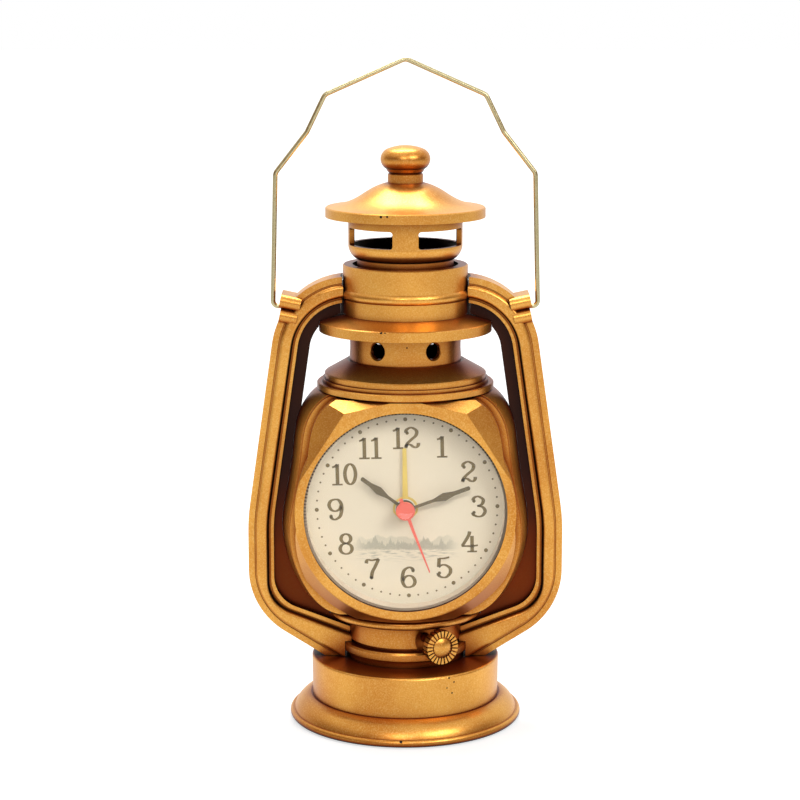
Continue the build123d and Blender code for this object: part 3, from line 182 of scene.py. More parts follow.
class Pot:
    """One material or world, with helpers that add its nodes."""

    def __init__(self, name, is_world=False):
        shelf = bpy.data.worlds if is_world else bpy.data.materials
        self.block = shelf.new(name)
        self.block.use_nodes = True
        self.tree = self.block.node_tree
        self.tree.nodes.clear()
        self.end = self.tree.nodes.new("ShaderNodeOutputWorld" if is_world else "ShaderNodeOutputMaterial")

    def node(self, kind, settings=None, inputs=None, output=0):
        """Adds a node: its settings first, then its sockets by name or by order."""
        made = self.tree.nodes.new(kind)
        for key, value in (settings or {}).items():
            setattr(made, key, value)
        pairs = inputs.items() if isinstance(inputs, dict) else enumerate(inputs or [])
        for key, value in pairs:
            self.feed(made.inputs[key], value)
        return Wire(self, made.outputs[output])

    def feed(self, socket, value):
        """Links a wire to a socket, or sets a number, colour or vector on it."""
        if isinstance(value, Wire):
            self.tree.links.new(value.socket, socket)
        else:
            socket.default_value = value

    def mix(self, factor, first, second):
        """A colour between two, by a factor from 0 to 1."""
        inputs = {MIX_FACTOR: factor, MIX_FIRST: first, MIX_SECOND: second}
        return self.node("ShaderNodeMix", {"data_type": "RGBA"}, inputs, MIX_RESULT)

    def clamp(self, value):
        """A value held between 0 and 1."""
        return self.node("ShaderNodeClamp", {}, {"Value": value})

    def place(self):
        """The point being shaded, in metres, fixed to the piece."""
        return self.node("ShaderNodeTexCoord", output="Object")

    def facing(self):
        """The direction that the surface faces, fixed to the piece."""
        return self.node("ShaderNodeTexCoord", output="Normal")

    def shut_in(self, reach, low, high):
        """1 where a spot is closed in within a reach, in metres, and 0 in the open."""
        settings = {"samples": AIR_SAMPLES}
        open_air = self.node("ShaderNodeAmbientOcclusion", settings, {"Distance": reach}, "AO")
        return 1 - open_air.smooth(low, high)

    def split(self, vector):
        """A vector's three numbers."""
        parts = self.node("ShaderNodeSeparateXYZ", {}, {"Vector": vector})
        return [Wire(self, socket) for socket in parts.socket.node.outputs]

    def noise(self, scale, detail=2.0, roughness=0.5, vector=None):
        """Soft noise from 0 to 1, with a scale in waves per metre."""
        where = vector or self.place()
        inputs = {"Vector": where, "Scale": scale, "Detail": detail, "Roughness": roughness}
        return self.node("ShaderNodeTexNoise", {}, inputs)

    def bump(self, height, distance, strength):
        """A surface normal that leans as a height does, with the distance in metres."""
        inputs = {"Height": height, "Distance": distance, "Strength": strength}
        return self.node("ShaderNodeBump", {}, inputs)

    def surface(self, **inputs):
        """A Principled shader, its sockets named with underscores for spaces."""
        named = {key.replace("_", " "): value for key, value in inputs.items()}
        return self.node("ShaderNodeBsdfPrincipled", {}, named)

    def done(self, shader):
        """Ends the material or world with its shader, and hands it out."""
        self.tree.links.new(shader.socket, self.end.inputs["Surface"])
        return self.block


print("a Mix node gives its colour at output", MIX_RESULT)

# %% [markdown]
# Colours are written as on a paint chart, with three numbers from 0 to 255. A screen keeps them on
# a curve, and a renderer works with plain amounts of light, so each number is taken off the curve
# first: by a straight rule for the darkest tones, and by a power for the others.

# %% Paint chart
CHART_TOP = 255
STRAIGHT_END, STRAIGHT_SLOPE = 0.04045, 12.92
CURVE_OFFSET, CURVE_POWER = 0.055, 2.4
BLACK = (0.0, 0.0, 0.0, 1.0)
WHITE = (1.0, 1.0, 1.0, 1.0)


def light_amount(number):
    """The amount of light, from 0 to 1, that a number of the chart stands for."""
    share = number / CHART_TOP
    if share <= STRAIGHT_END:
        return share / STRAIGHT_SLOPE
    return ((share + CURVE_OFFSET) / (1 + CURVE_OFFSET)) ** CURVE_POWER


def colour(red, green, blue):
    """A colour of the chart, as a shader's socket takes it."""
    return tuple(light_amount(number) for number in (red, green, blue)) + (1.0,)


print("a mid grey gives", round(light_amount(CHART_TOP // 2), 3), "of the light of white")

# %% [markdown]
# The shells are black plastic sprayed with bronze paint, which is metal flakes in lacquer. Three
# kinds of spot get painted shade: grooves, hollows between the shells, and faces that look down.
# How shut in a spot is comes from the Ambient Occlusion node, at a short reach for grooves and a
# long one for hollows. Which way a face looks is read from its direction. On faces that look
# straight to the front or the back, a hollow's painted shade counts for less.

# %% Painted shade in grooves, hollows and undersides
# A soft step is a pair: where it starts, and where it is complete.
GROOVE_REACH, GROOVE_STEP = 3 * MM, (0.35, 0.95)
HOLLOW_REACH, HOLLOW_STEP = 22 * MM, (0.35, 0.88)
FRONT_FACING_STEP, FRONT_FACING_SPARED = (0.2, 0.95), 0.6
UNDER_STEP = (0.2, 0.8)


def thin_masks(pot, groove_share):
    """How much painted shade a spot gets as a groove, a hollow and an underside, each from 0 to 1."""
    _, depthward, skyward = pot.split(pot.facing())
    groove = pot.shut_in(GROOVE_REACH, *GROOVE_STEP) * groove_share
    spared = abs(depthward).smooth(*FRONT_FACING_STEP) * FRONT_FACING_SPARED
    hollow = pot.shut_in(HOLLOW_REACH, *HOLLOW_STEP) * (1 - spared)
    # Faces that look down get painted shade.
    under = (0 - skyward).smooth(*UNDER_STEP)
    return groove, hollow, under


print("a groove is felt within", GROOVE_REACH, "m and a hollow within", HOLLOW_REACH, "m")

# %% [markdown]
# The deepest hollows are painted black, as deep shade. Two kinds of place show the black plastic
# itself. The insides of the open shells were never sprayed: a face is inside where it looks towards
# the clock's upright middle line. And there are a few chips, round spots with an edge that noise
# makes ragged. Between the two rails of each arm runs a web, set back, which gets painted shade, and
# its depth from the parting line tells it from the rails.

# %% Where the plastic is bare, and where the web gets painted shade
INSIDE_STEP = (-0.5, -0.1)
WEB_DEPTH, RAIL_DEPTH = 2.6 * MM, 3.38 * MM
WEB_FACE_STEP = (0.4, 0.8)
CHIP_WAVES, CHIP_CORE = 900, 0.8


def inside_mask(pot):
    """1 on a face that looks towards the clock's upright middle line."""
    across, depth, _ = pot.split(pot.place())
    sideward, depthward, _ = pot.split(pot.facing())
    from_middle = (across * across + depth * depth) ** 0.5
    outward = (sideward * across + depthward * depth) / from_middle
    return 1 - outward.smooth(*INSIDE_STEP)


def web_mask(pot):
    """1 on the web between the two rails of an arm, where shade is painted."""
    _, depth, _ = pot.split(pot.place())
    _, depthward, _ = pot.split(pot.facing())
    set_back = 1 - abs(depth).smooth(WEB_DEPTH, RAIL_DEPTH)
    return set_back * abs(depthward).smooth(*WEB_FACE_STEP)


def chip_mask(pot, spot, size):
    """1 on a chip about a spot, with its radius in metres."""
    away = pot.node("ShaderNodeVectorMath", {"operation": "DISTANCE"}, [pot.place(), spot], "Value")
    ragged = away + (pot.noise(CHIP_WAVES) - 0.5) * size
    return 1 - ragged.smooth(size * CHIP_CORE, size)


print("an arm's web is within", round(WEB_DEPTH / MM, 2), "mm of the parting line")

# %% [markdown]
# The paint is built up coat over coat. A base tone drifts in soft clouds. The flakes catch the
# light one by one, so the bright ones and the dull ones each get a fine coat of their own. Then comes
# painted shade: deep orange and maroon in grooves, hollows and undersides, and last of all black in
# the deepest shade, which has no metal in it. The arms' web gets maroon painted shade low down and
# black painted shade higher up.

# %% Bronze spray paint
PAINT_PALE = colour(255, 222, 140)
PAINT_MID = colour(234, 171, 80)
PAINT_DEEP = colour(184, 102, 30)
PAINT_SHADE = colour(156, 76, 18)
# Maroon painted shade, for grooves, hollows and the arms' web.
PAINTED_DEEP_SHADE = colour(122, 42, 12)
# Black plastic, used where it is bare and also as painted deep shade.
BLACK_PLASTIC_AND_SHADE = colour(16, 5, 3)
FLAKE_WAVES, FLAKE_DETAIL, FLAKE_HEIGHT, FLAKE_LEAN = 2500, 1.0, 0.02 * MM, 0.3
CLOUD_WAVES, CLOUD_DETAIL, CLOUD_STEP, CLOUD_LEAST = 38, 3.0, (0.3, 0.7), 0.4
# How much each coat covers where its mask is full, and the soft steps of the masks.
BRIGHT_COVER, BRIGHT_STEP = 0.3, (0.45, 0.75)
DULL_COVER, DULL_STEP = 0.2, (0.25, 0.5)
UNDERSIDE_SHADE_COVER, GROOVE_SHADE_COVER, ARM_GROOVE_SHADE = 0.8, 0.8, 0.5
SHADE_COVER, SHADE_STEP = 0.9, (0.0, 0.5)
DEEP_SHADE_COVER, DEEP_SHADE_STEP = 1.0, (0.4, 0.95)
WEB_SHADE_COVER, WEB_BLACK_SHADE, WEB_BLACK_SHADE_STEP = 0.95, 0.75, (50 * MM, 85 * MM)
# How much each mask adds to the black that is painted as deep shade.
BLACK_SHADE_HOLLOW, BLACK_SHADE_UNDERSIDE, BLACK_SHADE_GROOVE, BLACK_SHADE_STEP = 0.6, 0.8, 0.4, (0.65, 1.05)
METAL, METAL_LOST = 0.9, 0.3
GLOSS, GLOSS_DRIFT, PLASTIC_SHINE = 0.25, 0.15, 0.15


def bronze_paint(name, bare_inside=False, web=False, chips=()):
    """Bronze spray paint on black plastic, with painted shade, and chips at spots given as (place, size).
    """
    pot = Pot(name)
    flakes = pot.noise(FLAKE_WAVES, FLAKE_DETAIL)
    clouds = pot.noise(CLOUD_WAVES, CLOUD_DETAIL)
    groove, hollow, under = thin_masks(pot, ARM_GROOVE_SHADE if web else 1.0)
    tone = pot.mix(clouds.smooth(*CLOUD_STEP) * (1 - CLOUD_LEAST) + CLOUD_LEAST, PAINT_DEEP, PAINT_MID)
    coats = (
        (flakes.smooth(*BRIGHT_STEP), BRIGHT_COVER, PAINT_PALE),
        (1 - flakes.smooth(*DULL_STEP), DULL_COVER, PAINT_DEEP),
        # The last four coats are painted shade, in undersides, hollows and grooves.
        (under, UNDERSIDE_SHADE_COVER, PAINT_SHADE),
        (hollow.smooth(*SHADE_STEP), SHADE_COVER, PAINT_SHADE),
        (groove, GROOVE_SHADE_COVER, PAINTED_DEEP_SHADE),
        (hollow.smooth(*DEEP_SHADE_STEP), DEEP_SHADE_COVER, PAINTED_DEEP_SHADE),
    )
    for mask, cover, paint in coats:
        tone = pot.mix(mask * cover, tone, paint)
    # Black painted as the deepest shade, in hollows, undersides and grooves.
    bare = (hollow * (under * BLACK_SHADE_UNDERSIDE + BLACK_SHADE_HOLLOW) + groove * BLACK_SHADE_GROOVE).smooth(*BLACK_SHADE_STEP)
    # The arms' web is painted maroon shade, and black shade higher up.
    if web:
        in_web = web_mask(pot)
        _, _, height = pot.split(pot.place())
        tone = pot.mix(in_web * WEB_SHADE_COVER, tone, pot.mix(clouds, PAINTED_DEEP_SHADE, BLACK_PLASTIC_AND_SHADE))
        bare = bare + in_web * height.smooth(*WEB_BLACK_SHADE_STEP) * WEB_BLACK_SHADE
    if bare_inside:
        bare = bare + inside_mask(pot)
    for spot, size in chips:
        bare = bare + chip_mask(pot, spot, size)
    bare = pot.clamp(bare)
    return pot.done(pot.surface(
        Base_Color=pot.mix(bare, tone, BLACK_PLASTIC_AND_SHADE),
        Metallic=(METAL - hollow * METAL_LOST) * (1 - bare),
        Roughness=flakes * GLOSS_DRIFT + GLOSS,
        Normal=pot.bump(flakes, FLAKE_HEIGHT, FLAKE_LEAN),
        Specular_IOR_Level=PLASTIC_SHINE))


print("a flake is about", round(1 / FLAKE_WAVES / MM, 2), "mm wide")

# %% [markdown]
# Mouldings that nobody can look into are painted all over, and open shells are bare inside. The
# arms get their web's painted shade. Four shells carry chips, so each of them gets a pot of its own,
# with the chips where the camera finds them behind the photograph's pixels.

# %% Painted shells
CLOSED_PAINTED = ("burner_collar", "wick_wheel", "globe_front", "globe_rear", "front_bezel", "finial")
OPEN_PAINTED = ("globe_seat", "cap_ring", "chimney", "vent_cage")
ARMS = ("right_arm_front", "right_arm_rear", "left_arm_front", "left_arm_rear")
# Each chip is its column and row in the photograph, and its radius in millimetres.
CHIPS = {
    "base_drum": ((449, 678, 0.35), (454, 682, 0.3), (447, 688, 0.25), (452, 693, 0.3),
                  (313, 676, 0.5), (401, 742, 0.5)),
    "cap": ((381, 217, 0.45), (387, 217, 0.35)),
    "hood": ((381, 333, 0.4), (385, 333, 0.3)),
    "neck": ((407, 348, 0.3),),
}


def dress(material, *names):
    """Gives nodes of the model a material."""
    for name in names:
        mesh = objects[name].data
        mesh.materials.clear()
        mesh.materials.append(material)


dress(bronze_paint("bronze_paint"), *CLOSED_PAINTED)
dress(bronze_paint("bronze_shell_paint", bare_inside=True), *OPEN_PAINTED)
dress(bronze_paint("bronze_arm_paint", bare_inside=True, web=True), *ARMS)
for node, places in CHIPS.items():
    spots = [(spot_behind(node, column, row), size * MM) for column, row, size in places]
    dress(bronze_paint(node + "_paint", bare_inside=True, chips=spots), node)
print(len(CLOSED_PAINTED + OPEN_PAINTED + ARMS) + len(CHIPS), "painted shells")

# %% [markdown]
# The handle is steel wire with a thin wash of brass, and its colour is a pale, cold gold. Drawn
# wire is smooth, so its gloss is high. The wash is uneven, and one soft noise moves both the tone
# and the gloss by a little.

# %% Wire handle
WIRE_PALE, WIRE_DEEP = colour(208, 198, 158), colour(176, 164, 122)
WASH_WAVES = 700
WIRE_GLOSS, WIRE_GLOSS_DRIFT = 0.2, 0.14
pot = Pot("brassed_wire")
wash = pot.noise(WASH_WAVES)
tone = pot.mix(wash, WIRE_DEEP, WIRE_PALE)
wire = pot.surface(Base_Color=tone, Metallic=1.0, Roughness=wash * WIRE_GLOSS_DRIFT + WIRE_GLOSS)
dress(pot.done(wire), "bail")
bail_low, bail_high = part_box("bail")
print("wire", round(bail_high[1] - bail_low[1], 5), "m thick")

# %% [markdown]
# Plastic, steel, brass and foam are the plain parts. One recipe serves them all: a base colour
# that drifts a little, a fine grain in the bump, and a gloss that varies with the same grain.

# %% Plain finishes
GRAIN_DETAIL, GRAIN_LEAN = 3.0, 0.5
DRIFT_WAVES = 60
ROUGH_LEAST, ROUGH_DRIFT = 0.8, 0.4
FINISHES = {
    "black_plastic": dict(tone=colour(30, 28, 27), roughness=0.5, waves=1400, depth=0.05),
    "soft_foam": dict(tone=colour(22, 21, 21), roughness=0.95, waves=900, depth=0.2),
    "white_plastic": dict(tone=colour(226, 222, 210), roughness=0.4),
    "nylon": dict(tone=colour(232, 228, 214), roughness=0.45),
    "grey_plastic": dict(tone=colour(150, 150, 146), roughness=0.45),
    "plated_steel": dict(tone=colour(190, 192, 194), roughness=0.28, metallic=1.0),
    "sheet_brass": dict(tone=colour(214, 178, 98), roughness=0.3, metallic=1.0),
}
WEARERS = {
    "black_plastic": ("bottom_plate", "movement_case", "middle_plate", "movement_lid", "rear_cover",
                      "battery_door"),
    "soft_foam": ("foot_ring",),
    "white_plastic": ("alarm_slider",),
    "nylon": ("cannon_pinion", "hour_wheel", "alarm_wheel", "time_arbor", "alarm_arbor"),
    "grey_plastic": ("time_knob", "alarm_knob"),
    "plated_steel": ("bottom_screws", "rear_screws", "wick_clip", "second_arbor", "contact_plate",
                     "contact_spring"),
    "sheet_brass": ("buzzer",),
}


def plain_finish(name, tone, roughness, metallic=0.0, waves=600, drift=0.12, depth=0.02):
    """A finish with a fine grain, its depth in millimetres, and a little drift in its tone."""
    pot = Pot(name)
    grain = pot.noise(waves, GRAIN_DETAIL)
    cloud = pot.noise(DRIFT_WAVES)
    dark = tuple(part * (1 - drift) for part in tone[:3]) + (1.0,)
    light = tuple(min(1.0, part * (1 + drift)) for part in tone[:3]) + (1.0,)
    return pot.done(pot.surface(
        Base_Color=pot.mix(cloud, dark, light),
        Metallic=metallic,
        Roughness=grain * (roughness * ROUGH_DRIFT) + roughness * ROUGH_LEAST,
        Normal=pot.bump(grain, depth * MM, GRAIN_LEAN)))


for name, recipe in FINISHES.items():
    dress(plain_finish(name, **recipe), *WEARERS[name])
print(len(FINISHES), "plain finishes on", sum(len(names) for names in WEARERS.values()), "nodes")

# %% [markdown]
# Each arm's web ends in a short tongue that plugs it to the chimney. It is a slice of a ring, bent
# to the chimney's own radius, and lies in the shade between the two, so it is painted near-black as
# that shade, like the web. It is made from four arcs of corners, an inner and an outer one at its
# foot and at its top.

# %% Arm tongues
TONGUE_FOOT, TONGUE_TOP = 128.35 * MM, 133.1 * MM
TONGUE_INNER, TONGUE_OUTER = 19.1 * MM, 19.8 * MM
TONGUE_HALF_ANGLE = math.radians(7.2)
TONGUE_STEPS = 6
INNER_FOOT, OUTER_FOOT, INNER_TOP, OUTER_TOP = range(4)
FIRST_END = (INNER_FOOT, OUTER_FOOT, OUTER_TOP, INNER_TOP)
LAST_END = (INNER_FOOT, INNER_TOP, OUTER_TOP, OUTER_FOOT)
TONGUE_SIDES = ((INNER_FOOT, OUTER_FOOT), (INNER_TOP, INNER_FOOT), (OUTER_FOOT, OUTER_TOP),
                (OUTER_TOP, INNER_TOP))


def make_piece(name, corners, faces, material, slot):
    """A mesh piece that rides on the lantern."""
    mesh = bpy.data.meshes.new(name)
    mesh.from_pydata(corners, [], faces)
    mesh.materials.append(material)
    piece = bpy.data.objects.new(name, mesh)
    bpy.context.scene.collection.objects.link(piece)
    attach(piece, BODY)
    return piece


def tongue(side):
    """Corners and faces of the tongue on one side, -1 left or 1 right."""
    corners = []
    for height in (TONGUE_FOOT, TONGUE_TOP):
        for radius in (TONGUE_INNER, TONGUE_OUTER):
            for step in range(TONGUE_STEPS + 1):
                turn = TONGUE_HALF_ANGLE * (2 * step / TONGUE_STEPS - 1) * side
                corners.append((side * radius * math.cos(turn), radius * math.sin(turn), height))
    row = TONGUE_STEPS + 1
    faces = [[arc * row for arc in FIRST_END], [(arc + 1) * row - 1 for arc in LAST_END]]
    for step in range(TONGUE_STEPS):
        for first, second in TONGUE_SIDES:
            low, high = first * row + step, second * row + step
            faces.append([low, low + 1, high + 1, high])
    return corners, faces


# Near-black painted shade for the tongues.
tongue_shade_paint = plain_finish("tongue_shade_paint", colour(30, 10, 5), roughness=0.6, waves=1200)
for name, side in (("left_arm_tongue", -1), ("right_arm_tongue", 1)):
    make_piece(name, *tongue(side), tongue_shade_paint, "bronze_paint")
print("tongues", round((TONGUE_TOP - TONGUE_FOOT) / MM, 2), "mm tall")

# %% [markdown]
# The hands are stamped from thin aluminium and painted. Paint on so small a piece is smooth, and
# what shows is its colour and a soft gloss.

# %% Painted hands
HAND_GRAIN = 1500
# Each paint is its colour, its roughness and the hands that wear it.
HAND_PAINTS = {
    "khaki_hand_paint": (colour(95, 80, 46), 0.45, ("hour_hand", "minute_hand")),
    "yellow_hand_paint": (colour(226, 196, 96), 0.4, ("alarm_hand",)),
    "red_hand_paint": (colour(236, 104, 84), 0.4, ("second_hand",)),
}
for name, (tone, roughness, names) in HAND_PAINTS.items():
    dress(plain_finish(name, tone, roughness, waves=HAND_GRAIN), *names)
print(len(HAND_PAINTS), "paints on the hands")

# %% [markdown]
# The hour dots and minute dots are printed on a circle. Sixty small discs, raised by a coat of ink,
# keep a crisp edge at any distance, which a painted pattern would lose. They are made as one mesh:
# a ring of corners for each disc, joined to the same ring a little further forward.
# The print sits a touch right of the middle and is turned a little, as on a cheap dial.

# %% Ink on the dial
INK_THICK = 0.03 * MM
INK_LIFT = 0.01 * MM
PRINT_SHIFT = 0.5 * MM
PRINT_TURN = math.radians(1.2)
DOT_CIRCLE = 27.4 * MM
HOUR_DOT = 0.62 * MM
MINUTE_DOT = 0.3 * MM
DOT_CORNERS = 16
FULL_TURN = 360
HOURS, MINUTES = 12, 60


def on_dial(across, up, out=0.0):
    """A point of the print, in metres, from its place right of and above the print's middle."""
    turned_across = across * math.cos(PRINT_TURN) - up * math.sin(PRINT_TURN)
    turned_up = across * math.sin(PRINT_TURN) + up * math.cos(PRINT_TURN)
    middle = dial_centre.x + PRINT_SHIFT
    return (middle + turned_across, dial_face - INK_LIFT - out, dial_centre.z + turned_up)


def plate(loops):
    """Corners and faces of thin plates, one for each loop of points (across, up)."""
    corners, faces = [], []
    for loop in loops:
        start, count = len(corners), len(loop)
        corners += [on_dial(x, z, INK_THICK) for x, z in loop] + [on_dial(x, z) for x, z in loop]
        faces.append([start + step for step in range(count)])
        faces.append([start + count + step for step in reversed(range(count))])
        for step in range(count):
            after = (step + 1) % count
            faces.append([start + step, start + count + step, start + count + after, start + after])
    return corners, faces


def circle(middle, radius, count):
    """Points of a circle, counter-clockwise as the reader sees it."""
    turns = [2 * math.pi * step / count for step in range(count)]
    return [(middle[0] + radius * math.cos(turn), middle[1] + radius * math.sin(turn)) for turn in turns]


def round_the_dial(step, steps, radius):
    """A point of a circle on the dial, one of so many steps clockwise from its top."""
    turn = math.radians(FULL_TURN / steps * step)
    return (radius * math.sin(turn), radius * math.cos(turn))


ink = plain_finish("olive_ink", colour(118, 98, 54), roughness=0.6, waves=3000, drift=0.15, depth=0.005)
dots = []
for minute in range(MINUTES):
    radius = MINUTE_DOT if minute % (MINUTES // HOURS) else HOUR_DOT
    dots.append(circle(round_the_dial(minute, MINUTES, DOT_CIRCLE), radius, DOT_CORNERS))
make_piece("dial_dots", *plate(dots), ink, "dial_print")
print(len(dots), "dots")

# %% [markdown]
# The numerals are a bookish face with thick upright strokes, thin level ones, and a round ball
# where a stroke ends. A font file can't be relied on, so each figure is drawn as a pen would: a few
# centre lines through points on a square of height 1.

# %% The figures' lines
OVAL_POINTS = 8
SIX = [(0.60, 0.82), (0.52, 0.93), (0.38, 0.965), (0.17, 0.82), (0.09, 0.5), (0.11, 0.25), (0.22, 0.07),
       (0.38, 0.035), (0.57, 0.1), (0.66, 0.29), (0.57, 0.5), (0.39, 0.58), (0.2, 0.5), (0.11, 0.34)]


def oval(across, up, half_width, half_height):
    """A closed line round a middle, clockwise from its top."""
    turns = [2 * step * math.pi / OVAL_POINTS for step in range(OVAL_POINTS + 1)]
    return [(across + half_width * math.sin(turn), up + half_height * math.cos(turn)) for turn in turns]


# Each figure is its width, the middles of its balls, and its lines.
FIGURES = {
    "0": (0.62, [], [oval(0.31, 0.5, 0.24, 0.465)]),
    "1": (0.5, [], [
        [(0.27, 0.03), (0.27, 0.97)],
        [(0.27, 0.95), (0.17, 0.87), (0.04, 0.83)],
        [(0.03, 0.03), (0.5, 0.03)]]),
    "2": (0.68, [(0.14, 0.72)], [
        [(0.09, 0.73), (0.12, 0.87), (0.33, 0.965), (0.56, 0.82), (0.53, 0.6), (0.33, 0.42), (0.13, 0.22),
         (0.06, 0.04)],
        [(0.07, 0.08), (0.14, 0.17), (0.27, 0.18), (0.42, 0.08), (0.54, 0.06), (0.63, 0.15),
         (0.64, 0.26)]]),
    "3": (0.72, [(0.15, 0.76), (0.14, 0.23)], [
        [(0.1, 0.78), (0.17, 0.92), (0.36, 0.965), (0.57, 0.81), (0.5, 0.6), (0.3, 0.53)],
        [(0.3, 0.53), (0.54, 0.47), (0.65, 0.28), (0.53, 0.08), (0.33, 0.035), (0.14, 0.11),
         (0.09, 0.23)]]),
    "4": (0.78, [], [
        [(0.4, 0.97), (0.33, 0.75), (0.05, 0.3)],
        [(0.02, 0.29), (0.5, 0.29), (0.76, 0.32)],
        [(0.5, 0.76), (0.5, 0.03)],
        [(0.28, 0.03), (0.72, 0.03)]]),
    "5": (0.7, [(0.14, 0.24)], [
        [(0.14, 0.92), (0.35, 0.92), (0.6, 0.97)],
        [(0.14, 0.93), (0.11, 0.52)],
        [(0.11, 0.52), (0.22, 0.6), (0.41, 0.61), (0.62, 0.46), (0.63, 0.24), (0.46, 0.05), (0.26, 0.035),
         (0.11, 0.13), (0.09, 0.24)]]),
    "6": (0.74, [(0.58, 0.81)], [SIX]),
    "7": (0.64, [(0.25, 0.08)], [
        [(0.03, 0.76), (0.09, 0.92), (0.32, 0.9), (0.6, 0.96)],
        [(0.6, 0.96), (0.44, 0.62), (0.3, 0.34), (0.25, 0.05)]]),
    "8": (0.72, [], [oval(0.36, 0.75, 0.22, 0.215), oval(0.36, 0.28, 0.27, 0.245)]),
    "9": (0.74, [(0.16, 0.19)], [[(0.74 - x, 1 - y) for x, y in SIX]]),
}
print(len(FIGURES), "figures")

# %% [markdown]
# Straight runs between so few points would show a corner at each, so a smooth line is laid through
# them first. A cubic curve runs from each point to the next, and at each point it is parallel to
# the line between the two neighbours, which is why the curves join without a corner.

# %% Smooth lines
CURVE_STEPS = 5
SAME_POINT = 1e-6


def is_closed(line):
    """Whether a line ends where it starts."""
    return math.dist(line[0], line[-1]) < SAME_POINT


def between(before, first, second, after, share):
    """One coordinate of the curve from first to second, at a share of the way."""
    slope = second - before
    bend = 2 * before - 5 * first + 4 * second - after
    twist = 3 * first - before - 3 * second + after
    return 0.5 * (2 * first + slope * share + bend * share ** 2 + twist * share ** 3)


def through(points):
    """A smooth line through points, closed where its ends meet."""
    if len(points) == 2:
        return points
    before = points[-2] if is_closed(points) else points[0]
    after = points[1] if is_closed(points) else points[-1]
    chain = [before] + points + [after]
    line = []
    for four in zip(chain, chain[1:], chain[2:], chain[3:]):
        for step in range(CURVE_STEPS):
            line.append(tuple(between(*coordinates, step / CURVE_STEPS) for coordinates in zip(*four)))
    return line + [points[-1]]


print("the 6 is a line of", len(through(SIX)), "points")

# %% [markdown]
# The pen's width follows its direction, wide while it travels up or down and thin while it travels
# sideways, and that alone gives the style. What it covers between two points of its line is one
# four-cornered cell, and each cell becomes a thin plate of ink, as the dots did.

# %% Numerals
FIGURE_HEIGHT = 6.7 * MM
FIGURE_CIRCLE = 21.7 * MM
FIGURE_GAP = 0.04
PEN_WIDE, PEN_THIN = 0.082, 0.038
PEN_CONTRAST = 1.5
BALL = 0.078
BALL_CORNERS = 12


def pen_sides(points):
    """The left and the right side of what a pen covers along a line."""
    line = through(points)
    sides = []
    for index, (x, y) in enumerate(line):
        ahead = line[min(index + 1, len(line) - 1)]
        behind = line[max(index - 1, 0)]
        if index in (0, len(line) - 1) and is_closed(line):
            ahead, behind = line[1], line[-2]
        along = Vector((ahead[0] - behind[0], ahead[1] - behind[1])).normalized()
        half = PEN_THIN + (PEN_WIDE - PEN_THIN) * abs(along.y) ** PEN_CONTRAST
        sides.append(((x - along.y * half, y + along.x * half), (x + along.y * half, y - along.x * half)))
    return zip(*sides)


def figure_cells(digit):
    """The cells and balls of one figure, on its square of height 1."""
    _, balls, lines = FIGURES[digit]
    cells = []
    for points in lines:
        left, right = pen_sides(points)
        for step in range(len(left) - 1):
            cells.append((right[step], right[step + 1], left[step + 1], left[step]))
    return cells + [circle(ball, BALL, BALL_CORNERS) for ball in balls]


def number_loops(text, middle):
    """Loops of the figures of a number, centred on a point of the dial."""
    width = sum(FIGURES[digit][0] for digit in text) + FIGURE_GAP * (len(text) - 1)
    pen = -width / 2
    loops = []
    for digit in text:
        for cell in figure_cells(digit):
            loops.append([(middle[0] + (pen + x) * FIGURE_HEIGHT, middle[1] + (y - 0.5) * FIGURE_HEIGHT)
                          for x, y in cell])
        pen += FIGURES[digit][0] + FIGURE_GAP
    return loops


numerals = []
for hour in range(1, HOURS + 1):
    numerals += number_loops(str(hour), round_the_dial(hour, HOURS, FIGURE_CIRCLE))
make_piece("dial_numerals", *plate(numerals), ink, "dial_print")
print(len(numerals), "cells in the numerals")

# %% [markdown]
# The dial is cream card, and across its lower half is printed a very faint grey landscape, a
# made-up one: low hills, a line of trees in front of them, and still water below. The top of the
# hills and of the trees is a height that wanders with noise along the dial, and what lies under it
# takes its grey. On the water the same grey comes in flat ripples, which are noise stretched
# sideways.

# %% Printed landscape
LAND_PALE = colour(196, 188, 163)
LAND_DARK = colour(150, 144, 122)
HORIZON = -12.6 * MM
LAND_HALF_WIDTH, LAND_FADES = 17.5 * MM, 0.6
HILL_WAVES, HILL_DETAIL, HILL_RISE, HILL_SINK = 70, 3.0, 20 * MM, 6.4 * MM
TREE_WAVES, TREE_DETAIL, TREE_RISE, TREE_SINK = 260, 4.0, 15 * MM, 5.6 * MM
TREE_ROUGHNESS = 0.7
HILL_STEP = (-0.3 * MM, 0.5 * MM)
TREE_STEP = (-0.2 * MM, 0.3 * MM)
SHORE_STEP = (-0.3 * MM, 0.7 * MM)
WATER_STEP = (-5.5 * MM, -0.3 * MM)
RIPPLE_WAVES, RIPPLE_DETAIL, RIPPLE_STEP = 2400, 1.0, (0.45, 0.7)
RIPPLE_STRETCH = (0.12, 1.0, 1.0)
HILL_COVER, TREE_COVER, TREE_FIBRES, RIPPLE_COVER = 0.6, 0.36, 0.3, 0.8


